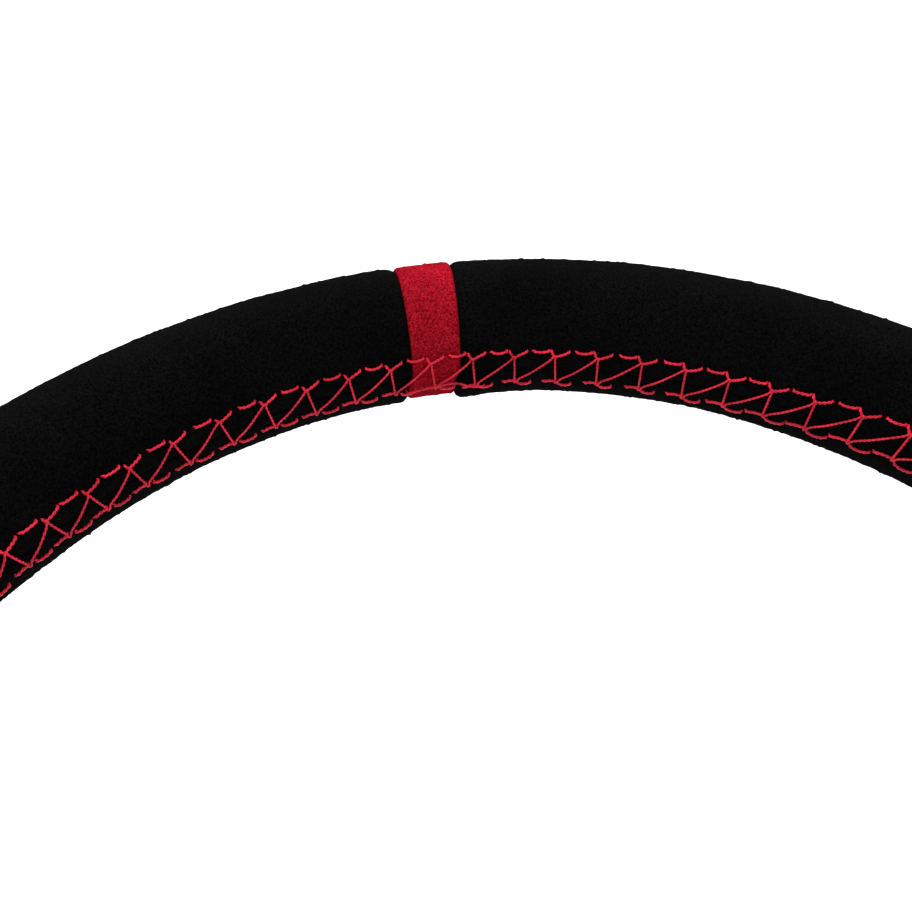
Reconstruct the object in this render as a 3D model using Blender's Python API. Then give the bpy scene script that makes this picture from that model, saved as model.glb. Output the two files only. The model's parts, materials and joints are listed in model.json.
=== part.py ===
"""A quick-release steering wheel: a dished three-spoke wheel with a laced suede grip, a horn
button, and a ball-lock hub that lets the whole wheel be pulled off its column.

Metres, +Z up along the steering axis towards the driver, +Y towards the top of the rim, and the
origin at the centre of the flange face that bolts to the steering column's boss.
The lock collar stands drawn back towards the driver, which is its released position.
"""

import math

import bmesh
import bpy
from mathutils import Matrix, Vector

TAU = 2 * math.pi
GAP = 0.0003  # air between neighbouring pieces
ROUND = 36  # facets round a turned piece of the hub
SMALL_ROUND = 12  # facets round a screw or a pin
RIM_ROUND = 48  # facets round the rim
CUTTER_TURN = math.radians(7)  # keeps a round cutter's corners off the corners of what it cuts

# The rim, whose grip is a round tube bent into a ring.
RIM_RADIUS = 0.165
GRIP_RADIUS = 0.017
RING_RADIUS = RIM_RADIUS - GRIP_RADIUS
LEATHER = 0.0012
CORE_RADIUS = 0.005
FOAM_RADIUS = GRIP_RADIUS - LEATHER - 2 * GAP
GRIP_SIDES = 12
BAND_ARC = math.radians(5.1)
BAND_RECESS = 0.0005
DISH = 0.105  # from the spoke plate's back face to the middle of the rim

# The seam on the inside of the rim, as angles round the grip from the driver's side inwards.
SEAM_ANGLE = math.radians(88)
SEAM_SLIT = math.radians(1.2)
ROW_OFFSET = math.radians(18)
LACE_OFFSET = math.radians(14)
THREAD_RADIUS = 0.0004
LACE_PERIOD = math.radians(4.6)
SEAM_ARCS = {  # first angle clockwise from the top of the rim, and the number of lace periods
    "upper": (math.radians(-82.8), 36),
    "lower_right": (math.radians(98.2), 16),
    "lower_left": (math.radians(-171.8), 16),
}

# Heights of the hub's pieces, from the column's boss to the horn button.
FLANGE_RADIUS = 0.041
BASE_THICKNESS = 0.007
SOCKET_FLOOR = 0.010
BALL_HEIGHT = 0.021
SPLINE_BOTTOM = 0.030
SOCKET_TOP = 0.041
HUB_BOTTOM = SOCKET_TOP + GAP
POCKET_FLOOR = HUB_BOTTOM + 0.003
HUB_TOP = HUB_BOTTOM + 0.008
PLATE_THICKNESS = 0.004
PLATE_BOTTOM = HUB_TOP + GAP
PLATE_TOP = PLATE_BOTTOM + PLATE_THICKNESS
RIM_HEIGHT = PLATE_BOTTOM + DISH
RING_BOTTOM = PLATE_TOP + GAP
RING_FLANGE_TOP = RING_BOTTOM + 0.0035

# The ball lock.
SOCKET_RADIUS = 0.022
NOSE_BORE = 0.0153
NOSE_RADIUS = NOSE_BORE - GAP
NOSE_BOTTOM = 0.013
PLUG_BORE = 0.010
BALL_RADIUS = 0.004
BALL_COUNT = 6
BALL_FREE_RADIUS = 0.0196
BALL_LOCKED_RADIUS = 0.0180
COLLAR_TRAVEL = 0.006
COLLAR_RADIUS = 0.030
COLLAR_BOTTOM = 0.014
COLLAR_TOP = 0.0405
COLLAR_LAND = SOCKET_RADIUS + GAP
COLLAR_RELIEF = 0.0242
COLLAR_BORE = 0.0273
COLLAR_STEP = 0.0285
WASHER_BOTTOM = 0.0333
WASHER_TOP = 0.0348
SNAP_BOTTOM = 0.0351
SNAP_TOP = 0.0363
SPLINE_TEETH = 8
SPLINE_ROOT = 0.0170
SPLINE_TIP = 0.0190
TOOTH_WIDTH = 0.0050
MASTER_TOOTH_WIDTH = 0.0075

# Screws of both bolt circles.
BOLT_CIRCLE = 0.035
BOLT_COUNT = 6
BOLT_RADIUS = 0.0024
BOLT_HOLE = 0.0027
HEAD_RADIUS = 0.0046
HEAD_DEPTH = 0.0026
SOCKET_KEY = 0.0017

# The horn button.
BUTTON_BORE = 0.0263
BUTTON_TRAVEL = 0.0025
HOUSING_BOTTOM = 0.048
HOUSING_TOP = 0.0549
LEDGE = 0.0527
CAP_BOTTOM = 0.058
CAP_FLANGE_TOP = 0.0607
LIP_BOTTOM = CAP_FLANGE_TOP + GAP
LIP_TOP = 0.063
CAP_TOP = 0.0690


def material(name, colour, roughness, metallic=0.0):
    """A Principled material of one colour."""
    made = bpy.data.materials.new(name)
    made.use_nodes = True
    shader = made.node_tree.nodes["Principled BSDF"]
    shader.inputs["Base Color"].default_value = (*colour, 1.0)
    shader.inputs["Roughness"].default_value = roughness
    shader.inputs["Metallic"].default_value = metallic
    return made


def clear_scene():
    for obj in list(bpy.data.objects):
        bpy.data.objects.remove(obj)


def place(name, mesh, finish, parent=None, location=(0, 0, 0), rotation=0.0):
    """Links a mesh to the scene as one named piece, turned about Z and put on its body's empty."""
    obj = bpy.data.objects.new(name, mesh)
    bpy.context.scene.collection.objects.link(obj)
    obj.location = location
    obj.rotation_euler = (0, 0, rotation)
    obj.parent = parent
    if finish is not None:
        if not mesh.materials:
            mesh.materials.append(finish)
    return obj


def body(name, location=(0, 0, 0)):
    """An empty that carries the pieces of one moving body."""
    empty = bpy.data.objects.new(name, None)
    bpy.context.scene.collection.objects.link(empty)
    empty.location = location
    return empty


def mesh_of(bm, name):
    """Closes up a bmesh, turns its faces outwards, shades its round faces smooth and keeps it."""
    bmesh.ops.remove_doubles(bm, verts=bm.verts, dist=1e-7)
    faceless = [edge for edge in bm.edges if not edge.link_faces]
    bmesh.ops.delete(bm, geom=faceless, context="EDGES")
    bmesh.ops.recalc_face_normals(bm, faces=bm.faces)
    mesh = bpy.data.meshes.new(name)
    bm.to_mesh(mesh)
    bm.free()
    mesh.shade_smooth()
    mesh.set_sharp_from_angle(angle=math.radians(35))
    return mesh


def skin(rings, closed):
    """A bmesh skinned over equal rings of points; an open run of rings gets two end faces."""
    bm = bmesh.new()
    rows = [[bm.verts.new(point) for point in ring] for ring in rings]
    following = rows[1:] + rows[:1] if closed else rows[1:]
    for row, next_row in zip(rows, following):
        for i, vert in enumerate(row):
            j = (i + 1) % len(row)
            bm.faces.new((vert, row[j], next_row[j], next_row[i]))
    if not closed:
        bm.faces.new(rows[0])
        bm.faces.new(rows[-1])
    return bm


def turned(name, profile, steps=ROUND):
    """A mesh turned about Z from a closed outline of (radius, height) points."""
    angles = [TAU * i / steps for i in range(steps)]
    rings = [[(r * math.cos(a), r * math.sin(a), z) for r, z in profile] for a in angles]
    return mesh_of(skin(rings, closed=True), name)


def prism(name, outline, bottom, top):
    """A mesh of a flat outline of (x, y) points pushed up from bottom to top."""
    rings = [[(x, y, z) for x, y in outline] for z in (bottom, top)]
    return mesh_of(skin(rings, closed=False), name)


def circle(radius, steps, centre=(0, 0)):
    angles = [TAU * i / steps for i in range(steps)]
    return [(centre[0] + radius * math.cos(a), centre[1] + radius * math.sin(a)) for a in angles]


def rectangle(width, depth, centre=(0, 0)):
    corners = ((-1, -1), (1, -1), (1, 1), (-1, 1))
    return [(centre[0] + sx * width / 2, centre[1] + sy * depth / 2) for sx, sy in corners]


def helper(name, mesh):
    """A cutter or a piece to be joined: it shapes others and isn't part of the object."""
    obj = place(name, mesh, None)
    obj.hide_render = True
    obj.display_type = "WIRE"
    return obj


def boolean(obj, operation, others):
    for other in others:
        modifier = obj.modifiers.new(other.name, "BOOLEAN")
        modifier.operation = operation
        modifier.object = other
        modifier.solver = "EXACT"


def cut(obj, *cutters):
    boolean(obj, "DIFFERENCE", cutters)


def join(obj, *others):
    boolean(obj, "UNION", others)


def wire(name, points, radius, finish, parent):
    """A wire along points: a curve with a coarse bevel and closed ends."""
    curve = bpy.data.curves.new(name, "CURVE")
    curve.dimensions = "3D"
    curve.bevel_depth = radius
    curve.bevel_resolution = 0
    curve.use_fill_caps = True
    spline = curve.splines.new("POLY")
    spline.points.add(len(points) - 1)
    for target, point in zip(spline.points, points):
        target.co = (*point, 1.0)
    place(name, curve, finish, parent)


def coil(radius, bottom, top, turns, steps):
    """Points along a helix whose end turns lie flat, as on a spring with closed ends."""
    points = []
    count = round(turns * steps)
    for i in range(count + 1):
        share = i / count
        rise = min(max((share * turns - 0.6) / (turns - 1.2), 0.0), 1.0)
        angle = TAU * turns * share
        height = bottom + (top - bottom) * (0.12 * share + 0.88 * rise)
        points.append((radius * math.cos(angle), radius * math.sin(angle), height))
    return points


def around(count, radius, start):
    """(angle, x, y) of places evenly spaced on a circle about the steering axis."""
    angles = [start + TAU * i / count for i in range(count)]
    return [(a, radius * math.cos(a), radius * math.sin(a)) for a in angles]


def bolts():
    return around(BOLT_COUNT, BOLT_CIRCLE, math.radians(30))


def grip_point(clockwise, angle, radius):
    """A point of the rim: clockwise from its top, angle round the grip from the driver's side
    inwards, and radius from the middle of the grip."""
    reach = RING_RADIUS - radius * math.sin(angle)
    height = RIM_HEIGHT + radius * math.cos(angle)
    return Vector((reach * math.sin(clockwise), reach * math.cos(clockwise), height))


def clearance_cutters(name, bottom, top, sink_top=None):
    """Cutters for the six bolt holes, countersunk from above where sink_top is given."""
    profile = [(0, bottom), (BOLT_HOLE, bottom)]
    if sink_top is None:
        profile += [(BOLT_HOLE, top), (0, top)]
    else:
        head = HEAD_RADIUS + 2 * GAP
        profile += [(BOLT_HOLE, sink_top - HEAD_DEPTH - GAP), (head, sink_top), (head, top), (0, top)]
    mesh = turned(name, profile, SMALL_ROUND)
    cutters = []
    for i, (angle, x, y) in enumerate(bolts()):
        cutter = helper(f"{name}_{i}", mesh)
        cutter.location = (x, y, 0)
        cutter.rotation_euler = (0, 0, angle + CUTTER_TURN)
        cutters.append(cutter)
    return cutters


def countersunk_screw(length):
    """The mesh of a countersunk screw with a hexagon socket, its head's top at z = 0."""
    profile = [(0, 0), (HEAD_RADIUS, 0), (BOLT_RADIUS, -HEAD_DEPTH), (BOLT_RADIUS, -length)]
    profile += [(0, -length)]
    screw = helper("screw_blank", turned("screw_blank", profile, SMALL_ROUND))
    key = helper("screw_key", prism("screw_key", circle(SOCKET_KEY, 6), -0.0018, 0.001))
    cut(screw, key)
    bpy.context.view_layer.update()
    evaluated = screw.evaluated_get(bpy.context.evaluated_depsgraph_get())
    mesh = bpy.data.meshes.new_from_object(evaluated)
    bpy.data.objects.remove(screw)
    bpy.data.objects.remove(key)
    return mesh


def screws(name, length, head_top, finish, parent):
    mesh = countersunk_screw(length)
    for i, (angle, x, y) in enumerate(bolts()):
        place(f"{name}_{i + 1}", mesh, finish, parent, (x, y, head_top), angle)


def spline_outline(root, tip, side_gap):
    """A toothed outline. The first tooth is wider, so the hub goes together one way only."""
    points = []
    for i in range(SPLINE_TEETH):
        centre = TAU * i / SPLINE_TEETH + TAU / 4
        width = (MASTER_TOOTH_WIDTH if i == 0 else TOOTH_WIDTH) + 2 * side_gap
        half_root = math.asin(width / 2 / root)
        half_tip = math.asin(width / 2 / tip)
        corners = ((root, -half_root), (tip, -half_tip), (tip, half_tip), (root, half_root))
        points += [(r * math.cos(centre + a), r * math.sin(centre + a)) for r, a in corners]
    return points


# --- The column side -------------------------------------------------------------------------


def base_hub(finish, parent):
    """The flange that bolts to the boss, with the socket that the wheel's plug drops into."""
    edge = 0.0008
    profile = [(0.011, 0), (FLANGE_RADIUS - edge, 0), (FLANGE_RADIUS, edge)]
    profile += [(FLANGE_RADIUS, BASE_THICKNESS - edge), (FLANGE_RADIUS - edge, BASE_THICKNESS)]
    profile += [(SOCKET_RADIUS, BASE_THICKNESS), (SOCKET_RADIUS, SNAP_BOTTOM - 0.0001)]
    profile += [(SOCKET_RADIUS - 0.001, SNAP_BOTTOM - 0.0001)]
    profile += [(SOCKET_RADIUS - 0.001, SNAP_TOP + 0.0001), (SOCKET_RADIUS, SNAP_TOP + 0.0001)]
    profile += [(SOCKET_RADIUS, SOCKET_TOP - edge), (SOCKET_RADIUS - edge, SOCKET_TOP)]
    profile += [(0.0175, SOCKET_TOP), (0.0173, SOCKET_TOP - 0.0002), (0.0173, SPLINE_BOTTOM)]
    profile += [(NOSE_BORE, SPLINE_BOTTOM), (NOSE_BORE, SOCKET_FLOOR), (0.011, SOCKET_FLOOR)]
    obj = place("base_hub", turned("base_hub", profile), finish, parent)
    slots = spline_outline(SPLINE_ROOT, SPLINE_TIP + GAP, GAP)
    cut(obj, helper("spline_cutter", prism("spline_cutter", slots, SPLINE_BOTTOM, 0.045)))
    for i, (angle, _, _) in enumerate(around(BALL_COUNT, 0, math.radians(30))):
        cone = [(0, NOSE_BORE - 0.002), (0.0039, NOSE_BORE - 0.002), (0.0043, 0.0165)]
        cone += [(0.0043, SOCKET_RADIUS + 0.001), (0, SOCKET_RADIUS + 0.001)]
        drill = helper(f"ball_drill_{i}", turned(f"ball_drill_{i}", cone, 12))
        drill.rotation_euler = (0, math.pi / 2, angle)
        drill.location = (0, 0, BALL_HEIGHT)
        cut(obj, drill)
    cut(obj, *clearance_cutters("base_hole", -0.001, BASE_THICKNESS + 0.001, BASE_THICKNESS))


def collar_profile():
    """The collar's outline: a bore with a land that holds the balls in and a relief that frees
    them, a counterbore for the spring, and two grip flanges outside."""
    edge, groove = 0.0007, 0.0012
    ramp_top = BALL_HEIGHT + COLLAR_TRAVEL - 0.0004
    ramp_slope = (BALL_FREE_RADIUS - BALL_LOCKED_RADIUS) / COLLAR_TRAVEL
    ramp_bottom = ramp_top - (COLLAR_RELIEF - COLLAR_LAND) / ramp_slope
    inner = [(COLLAR_LAND, COLLAR_BOTTOM), (COLLAR_LAND, BALL_HEIGHT - 0.0032)]
    inner += [(COLLAR_RELIEF, BALL_HEIGHT - 0.0030), (COLLAR_RELIEF, ramp_bottom)]
    inner += [(COLLAR_LAND, ramp_top), (COLLAR_LAND, COLLAR_STEP), (COLLAR_BORE, COLLAR_STEP)]
    inner += [(COLLAR_BORE, COLLAR_TOP)]
    outer = [(COLLAR_RADIUS - edge, COLLAR_TOP), (COLLAR_RADIUS, COLLAR_TOP - edge)]
    for low, high in ((0.0325, 0.0365), (0.0180, 0.0220)):
        outer += [(COLLAR_RADIUS, high), (COLLAR_RADIUS - groove, high - groove)]
        outer += [(COLLAR_RADIUS - groove, low + groove), (COLLAR_RADIUS, low)]
    outer += [(COLLAR_RADIUS, COLLAR_BOTTOM + edge), (COLLAR_RADIUS - edge, COLLAR_BOTTOM)]
    return inner + outer


def lock_parts(column, steel, spring_steel, red_anodised):
    """The collar, its spring and stop on the socket, and the balls that it lets out or holds in."""
    collar = body("lock_collar_body")
    place("lock_collar", turned("lock_collar", collar_profile()), red_anodised, collar)
    turns = coil(0.0249, COLLAR_STEP + 0.0008, WASHER_BOTTOM - 0.0008, 2.6, 20)
    wire("collar_spring", turns, 0.00045, spring_steel, column)
    washer = [(SOCKET_RADIUS + GAP, WASHER_BOTTOM), (0.0270, WASHER_BOTTOM)]
    washer += [(0.0270, WASHER_TOP), (SOCKET_RADIUS + GAP, WASHER_TOP)]
    place("spring_washer", turned("spring_washer", washer), steel, column)
    snap = [(SOCKET_RADIUS - 0.0006, SNAP_BOTTOM), (0.0246, SNAP_BOTTOM)]
    snap += [(0.0246, SNAP_TOP), (SOCKET_RADIUS - 0.0006, SNAP_TOP)]
    ring = place("snap_ring", turned("snap_ring", snap), spring_steel, column)
    gap_box = prism("snap_gap", rectangle(0.006, 0.010, (0, -0.0235)), 0.034, 0.037)
    cut(ring, helper("snap_gap", gap_box))
    bm = bmesh.new()
    bmesh.ops.create_icosphere(bm, subdivisions=2, radius=BALL_RADIUS)
    ball = mesh_of(bm, "lock_ball")
    for i, (angle, x, y) in enumerate(around(BALL_COUNT, BALL_FREE_RADIUS, math.radians(30))):
        place(f"lock_ball_{i + 1}", ball, steel, None, (x, y, BALL_HEIGHT), angle)


def base_contacts(column, nylon, brass):
    """The insulator in the socket's floor and the contact that the wheel's pin touches."""
    stem = 0.002
    profile = [(stem + GAP, 0.003), (0.0107, 0.003), (0.0107, SOCKET_FLOOR + GAP)]
    profile += [(0.0135, SOCKET_FLOOR + GAP), (0.0135, 0.0113), (stem + GAP, 0.0113)]
    place("contact_insulator", turned("contact_insulator", profile, 24), nylon, column)
    plate = [(0, 0.001), (stem, 0.001), (stem, 0.0116), (0.006, 0.0116), (0.006, 0.0123)]
    plate += [(0, 0.0123)]
    place("contact_plate", turned("contact_plate", plate, 24), brass, column)


# --- The wheel side ---------------------------------------------------------------------------


def wheel_hub(finish, parent):
    """The flange under the spoke plate, with the splined and grooved plug below it."""
    edge = 0.0008
    groove = BALL_RADIUS + GAP
    mouth = math.sqrt(groove**2 - (BALL_LOCKED_RADIUS - NOSE_RADIUS) ** 2)
    deep = BALL_LOCKED_RADIUS - groove
    profile = [(PLUG_BORE, NOSE_BOTTOM), (NOSE_RADIUS - edge, NOSE_BOTTOM)]
    profile += [(NOSE_RADIUS, NOSE_BOTTOM + edge), (NOSE_RADIUS, 0.0148), (0.0126, 0.0148)]
    profile += [(0.0126, 0.0173), (NOSE_RADIUS, 0.0173)]
    profile += [(NOSE_RADIUS, BALL_HEIGHT - mouth), (deep + 0.0004, BALL_HEIGHT - 0.0018)]
    profile += [(deep, BALL_HEIGHT), (deep + 0.0004, BALL_HEIGHT + 0.0018)]
    profile += [(NOSE_RADIUS, BALL_HEIGHT + mouth), (NOSE_RADIUS, SPLINE_BOTTOM + GAP)]
    profile += [(SPLINE_ROOT - 0.001, SPLINE_BOTTOM + GAP), (SPLINE_ROOT - 0.001, HUB_BOTTOM)]
    profile += [(FLANGE_RADIUS - edge, HUB_BOTTOM), (FLANGE_RADIUS, HUB_BOTTOM + edge)]
    profile += [(FLANGE_RADIUS, HUB_TOP - edge), (FLANGE_RADIUS - edge, HUB_TOP)]
    profile += [(0.0262, HUB_TOP), (0.0262, POCKET_FLOOR), (PLUG_BORE, POCKET_FLOOR)]
    obj = place("wheel_hub", turned("wheel_hub", profile), finish, parent)
    teeth = spline_outline(SPLINE_ROOT - GAP, SPLINE_TIP, 0.0)
    toothed = prism("plug_teeth", teeth, SPLINE_BOTTOM + GAP + 0.0001, HUB_BOTTOM + 0.001)
    join(obj, helper("plug_teeth", toothed))
    bore = prism("plug_bore", circle(PLUG_BORE, ROUND), 0.02, 0.05)
    cut(obj, helper("plug_bore", bore))
    earth = prism("earth_hole", circle(0.0017, 12, (0, 0.019)), 0.0420, 0.0450)
    cut(obj, helper("earth_hole", earth))
    cut(obj, *clearance_cutters("hub_hole", 0.0425, 0.0500))


def plug_contacts(wheel, nylon, brass, spring_steel, rubber):
    """The sprung contact pin in the plug's nose, its insulator, and the plug's O-ring."""
    hole, pocket = 0.0023, 0.0036
    profile = [(hole, 0.014), (PLUG_BORE - GAP, 0.014), (PLUG_BORE - GAP, 0.028)]
    profile += [(pocket, 0.028), (pocket, 0.019), (hole, 0.019)]
    place("plug_insulator", turned("plug_insulator", profile, 24), nylon, wheel)
    pin_body = body("contact_pin_body")
    pin = [(0, 0.0126), (0.0012, 0.0126), (0.0020, 0.0134), (0.0020, 0.0193)]
    pin += [(0.0033, 0.0193), (0.0033, 0.0205), (0, 0.0205)]
    place("contact_pin", turned("contact_pin", pin, SMALL_ROUND), brass, pin_body)
    turns = coil(0.0026, 0.0212, 0.0253, 4.2, 8)
    wire("pin_spring", turns, 0.00028, spring_steel, wheel)
    cap = [(0, 0.026), (0.0033, 0.026), (0.0033, 0.0279), (0, 0.0279)]
    place("pin_terminal", turned("pin_terminal", cap, SMALL_ROUND), brass, wheel)
    section = circle(0.0011, 6, (0.01395, 0.01605))
    place("o_ring", turned("o_ring", section, 32), rubber, wheel)


def horn_wiring(wheel, insulation, brass, steel):
    """The leads from the horn switch to the contact pin and to earth on the hub."""
    live = [(0, 0, 0.0447), (0.0022, 0.0008, 0.0410), (0.0020, 0.0016, 0.0370)]
    live += [(-0.0012, 0.0014, 0.0330), (-0.0008, 0.0004, 0.0300), (0, 0, 0.0283)]
    wire("horn_lead_live", live, 0.001, insulation, wheel)
    earth = [(0.0177, 0.0005, 0.0463), (0.0175, 0.0060, 0.0460), (0.0150, 0.0120, 0.0458)]
    earth += [(0.0100, 0.0170, 0.0457), (0.0045, 0.0187, 0.0457)]
    wire("horn_lead_earth", earth, 0.0008, insulation, wheel)
    eyelet = [(0.0017, POCKET_FLOOR + GAP), (0.0034, POCKET_FLOOR + GAP)]
    eyelet += [(0.0034, POCKET_FLOOR + 0.0009), (0.0017, POCKET_FLOOR + 0.0009)]
    place("earth_eyelet", turned("earth_eyelet", eyelet, 12), brass, wheel, (0, 0.019, 0))
    screw = [(0, 0.0424), (0.0014, 0.0424), (0.0014, POCKET_FLOOR + 0.0012)]
    screw += [(0.0027, POCKET_FLOOR + 0.0012), (0.0027, POCKET_FLOOR + 0.0026)]
    screw += [(0.0021, POCKET_FLOOR + 0.0031), (0, POCKET_FLOOR + 0.0031)]
    place("earth_screw", turned("earth_screw", screw, 12), steel, wheel, (0, 0.019, 0))


def filleted(corners, radii, steps):
    """Points along straight runs between corners, with an arc of the given radius at each one."""
    points = [Vector(corners[0])]
    for before, corner, after, radius in zip(corners, corners[1:], corners[2:], radii):
        corner = Vector(corner)
        back = (Vector(before) - corner).normalized()
        ahead = (Vector(after) - corner).normalized()
        half = back.angle(ahead) / 2
        centre = corner + (back + ahead).normalized() * radius / math.sin(half)
        first = corner + back * radius / math.tan(half)
        last = corner + ahead * radius / math.tan(half)
        for i in range(steps + 1):
            outward = first.lerp(last, i / steps) - centre
            points.append(centre + outward.normalized() * radius)
    points.append(Vector(corners[-1]))
    return points


class SpokePath:
    """The middle line of a spoke, from the edge of its plate to its end inside the grip."""

    bend_radii = (0.012, 0.010)
    end = RING_RADIUS - CORE_RADIUS - 0.0012

    def __init__(self):
        flat = PLATE_BOTTOM + PLATE_THICKNESS / 2
        corners = [(FLANGE_RADIUS, flat), (0.053, flat), (0.122, RIM_HEIGHT), (self.end, RIM_HEIGHT)]
        self.points = filleted(corners, self.bend_radii, 3)
        self.lengths = [0.0]
        for a, b in zip(self.points, self.points[1:]):
            self.lengths.append(self.lengths[-1] + (b - a).length)

    def at(self, along):
        """(radius, height) at a distance along the path."""
        for i, length in enumerate(self.lengths[1:]):
            if along <= length + 1e-9:
                share = (along - self.lengths[i]) / (length - self.lengths[i])
                return self.points[i].lerp(self.points[i + 1], share)
        return self.points[-1]


SLOTS = ((0.034, 0.026, 0.0070), (0.064, 0.022, 0.0058), (0.090, 0.018, 0.0046))
ROOT_HALF_WIDTH = 0.0152
END_HALF_WIDTH = 0.0110


def slot_half_width(along):
    """Half the width of the lightening slot at this distance along the spoke, or zero."""
    for centre, length, half in SLOTS:
        past = abs(along - centre) - (length / 2 - half)
        if past <= 0:
            return half
        if past < half - 1e-7:
            return math.sqrt(half**2 - past**2)
    return 0.0


def spoke_stations(path):
    """Distances along the spoke where its outline or its bend changes."""
    found = set(path.lengths[1:])
    for centre, length, half in SLOTS:
        for side in (-1, 1):
            for share in (0.0, 0.7, 1.0):
                found.add(centre + side * (length / 2 - half + half * share))
    return sorted(found)


def spoke_frame(finish, parent):
    """The centre plate and its three dished spokes, cut from one sheet and bent."""
    bm = bmesh.new()
    path = SpokePath()
    flat = PLATE_BOTTOM + PLATE_THICKNESS / 2
    reach = 2  # plate facets on each side of a spoke's middle line
    inner = [bm.verts.new((x, y, flat)) for x, y in circle(BUTTON_BORE, ROUND)]
    outer = [bm.verts.new((x, y, flat)) for x, y in circle(FLANGE_RADIUS, ROUND)]
    for i in range(ROUND):
        j = (i + 1) % ROUND
        bm.faces.new((inner[i], outer[i], outer[j], inner[j]))
    for quarter in (0, 2, 3):
        turn = Matrix.Rotation(quarter * TAU / 4, 3, "Z")
        first = quarter * ROUND // 4
        arc = [outer[(first + k) % ROUND] for k in range(-reach, reach + 1)]
        rows = []
        for along in spoke_stations(path):
            radius, height = path.at(along)
            share = along / path.lengths[-1]
            width = ROOT_HALF_WIDTH + (END_HALF_WIDTH - ROOT_HALF_WIDTH) * share
            slot = slot_half_width(along)
            places = (-width, width) if slot else (-width, 0, width)
            row = [bm.verts.new(turn @ Vector((radius, y, height))) for y in places]
            if slot:
                low = bm.verts.new(turn @ Vector((radius, -slot, height)))
                high = bm.verts.new(turn @ Vector((radius, slot, height)))
                row = [row[0], low, high, row[1]]
            else:
                row = [row[0], row[1], row[1], row[2]]
            rows.append(row)
        bm.faces.new((*arc[: reach + 1], rows[0][1], rows[0][0]))
        bm.faces.new((*arc[reach:], rows[0][3], rows[0][2]))
        for a, b in zip(rows, rows[1:]):
            bm.faces.new((a[0], a[1], b[1], b[0]))
            bm.faces.new((a[2], a[3], b[3], b[2]))
    obj = place("spoke_frame", mesh_of(bm, "spoke_frame"), finish, parent)
    sheet = obj.modifiers.new("sheet", "SOLIDIFY")
    sheet.thickness = PLATE_THICKNESS
    sheet.offset = 0
    cut(obj, *clearance_cutters("plate_hole", PLATE_BOTTOM - 0.001, PLATE_TOP + 0.001))


def section(radius, sides, first, last):
    """Angles round the grip, evenly spaced from first to last, each paired with a radius."""
    return [(first + (last - first) * i / sides, radius) for i in range(sides + 1)]


def rim_turns(start, end):
    """Clockwise angles from start to end, with a stop at each corner of the faceted rim between."""
    step = TAU / RIM_ROUND
    corners = range(math.ceil(start / step + 0.05), math.floor(end / step - 0.05) + 1)
    return [start, *(i * step for i in corners), end]


def wrapped(name, outline, turns):
    """A mesh swept round the rim through clockwise angles from (grip angle, radius) points."""
    rings = [[grip_point(turn, angle, radius) for angle, radius in outline] for turn in turns]
    return mesh_of(skin(rings, closed=False), name)


def spoke_slots(name, half_width, half_height):
    """Cutters for the openings where the three spoke ends enter the grip."""
    cutters = []
    for quarter in (0, 2, 3):
        outline = rectangle(0.022, 2 * half_width, (0.1345, 0))
        box = prism(f"{name}_{quarter}", outline, RIM_HEIGHT - half_height, RIM_HEIGHT + half_height)
        cutter = helper(f"{name}_{quarter}", box)
        cutter.rotation_euler = (0, 0, quarter * TAU / 4)
        cutters.append(cutter)
    return cutters


def rim(wheel, alloy, foam, suede, red_suede):
    """The core ring, the moulded foam on it, the two suede covers and the centre band."""
    core = circle(CORE_RADIUS, 6, (RING_RADIUS, RIM_HEIGHT))
    place("rim_core", turned("rim_core", core, RIM_ROUND), alloy, wheel)
    filling = circle(FOAM_RADIUS, GRIP_SIDES, (RING_RADIUS, RIM_HEIGHT))
    obj = place("grip_foam", turned("grip_foam", filling, RIM_ROUND), foam, wheel)
    tunnel = circle(CORE_RADIUS + GAP, 6, (RING_RADIUS, RIM_HEIGHT))
    cut(obj, helper("core_tunnel", turned("core_tunnel", tunnel, RIM_ROUND)))
    cut(obj, *spoke_slots("foam_slot", END_HALF_WIDTH + 0.0006, PLATE_THICKNESS / 2 + GAP))
    first = SEAM_ANGLE + SEAM_SLIT
    last = SEAM_ANGLE + TAU - SEAM_SLIT
    inner = section(GRIP_RADIUS - LEATHER, GRIP_SIDES, last, first)
    skin_outline = section(GRIP_RADIUS, GRIP_SIDES, first, last) + inner
    band_outline = section(GRIP_RADIUS - BAND_RECESS, GRIP_SIDES, first, last) + inner
    edge = BAND_ARC / 2 + math.radians(0.15)
    end = math.pi - math.radians(0.08)
    slot = (END_HALF_WIDTH + 0.0008, PLATE_THICKNESS / 2 + 0.0006)
    for name, turns in (("right", rim_turns(edge, end)), ("left", rim_turns(-end, -edge))):
        mesh = wrapped(f"cover_{name}", skin_outline, turns)
        cover = place(f"cover_{name}", mesh, suede, wheel)
        cut(cover, *spoke_slots(f"cover_{name}_slot", *slot))
    band = wrapped("centre_band", band_outline, rim_turns(-BAND_ARC / 2, BAND_ARC / 2))
    place("centre_band", band, red_suede, wheel)


def stitching(wheel, thread):
    """The thread rows along both edges of the seam, and the lace that crosses between them."""
    lift = GRIP_RADIUS + THREAD_RADIUS + GAP
    for name, (start, periods) in SEAM_ARCS.items():
        turns = rim_turns(start, start + periods * LACE_PERIOD)
        for side, row in ((-1, "front"), (1, "rear")):
            angle = SEAM_ANGLE + side * ROW_OFFSET
            points = [grip_point(turn, angle, lift) for turn in turns]
            wire(f"{row}_stitches_{name}", points, THREAD_RADIUS, thread, wheel)
        lace = []
        for i in range(periods):
            turn = start + (i + 0.5) * LACE_PERIOD
            lace.append(grip_point(turn, SEAM_ANGLE - LACE_OFFSET, lift + 0.0006))
            lace.append(grip_point(turn, SEAM_ANGLE + LACE_OFFSET, lift + 0.0006))
        wire(f"lacing_{name}", lace, THREAD_RADIUS, thread, wheel)


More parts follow.
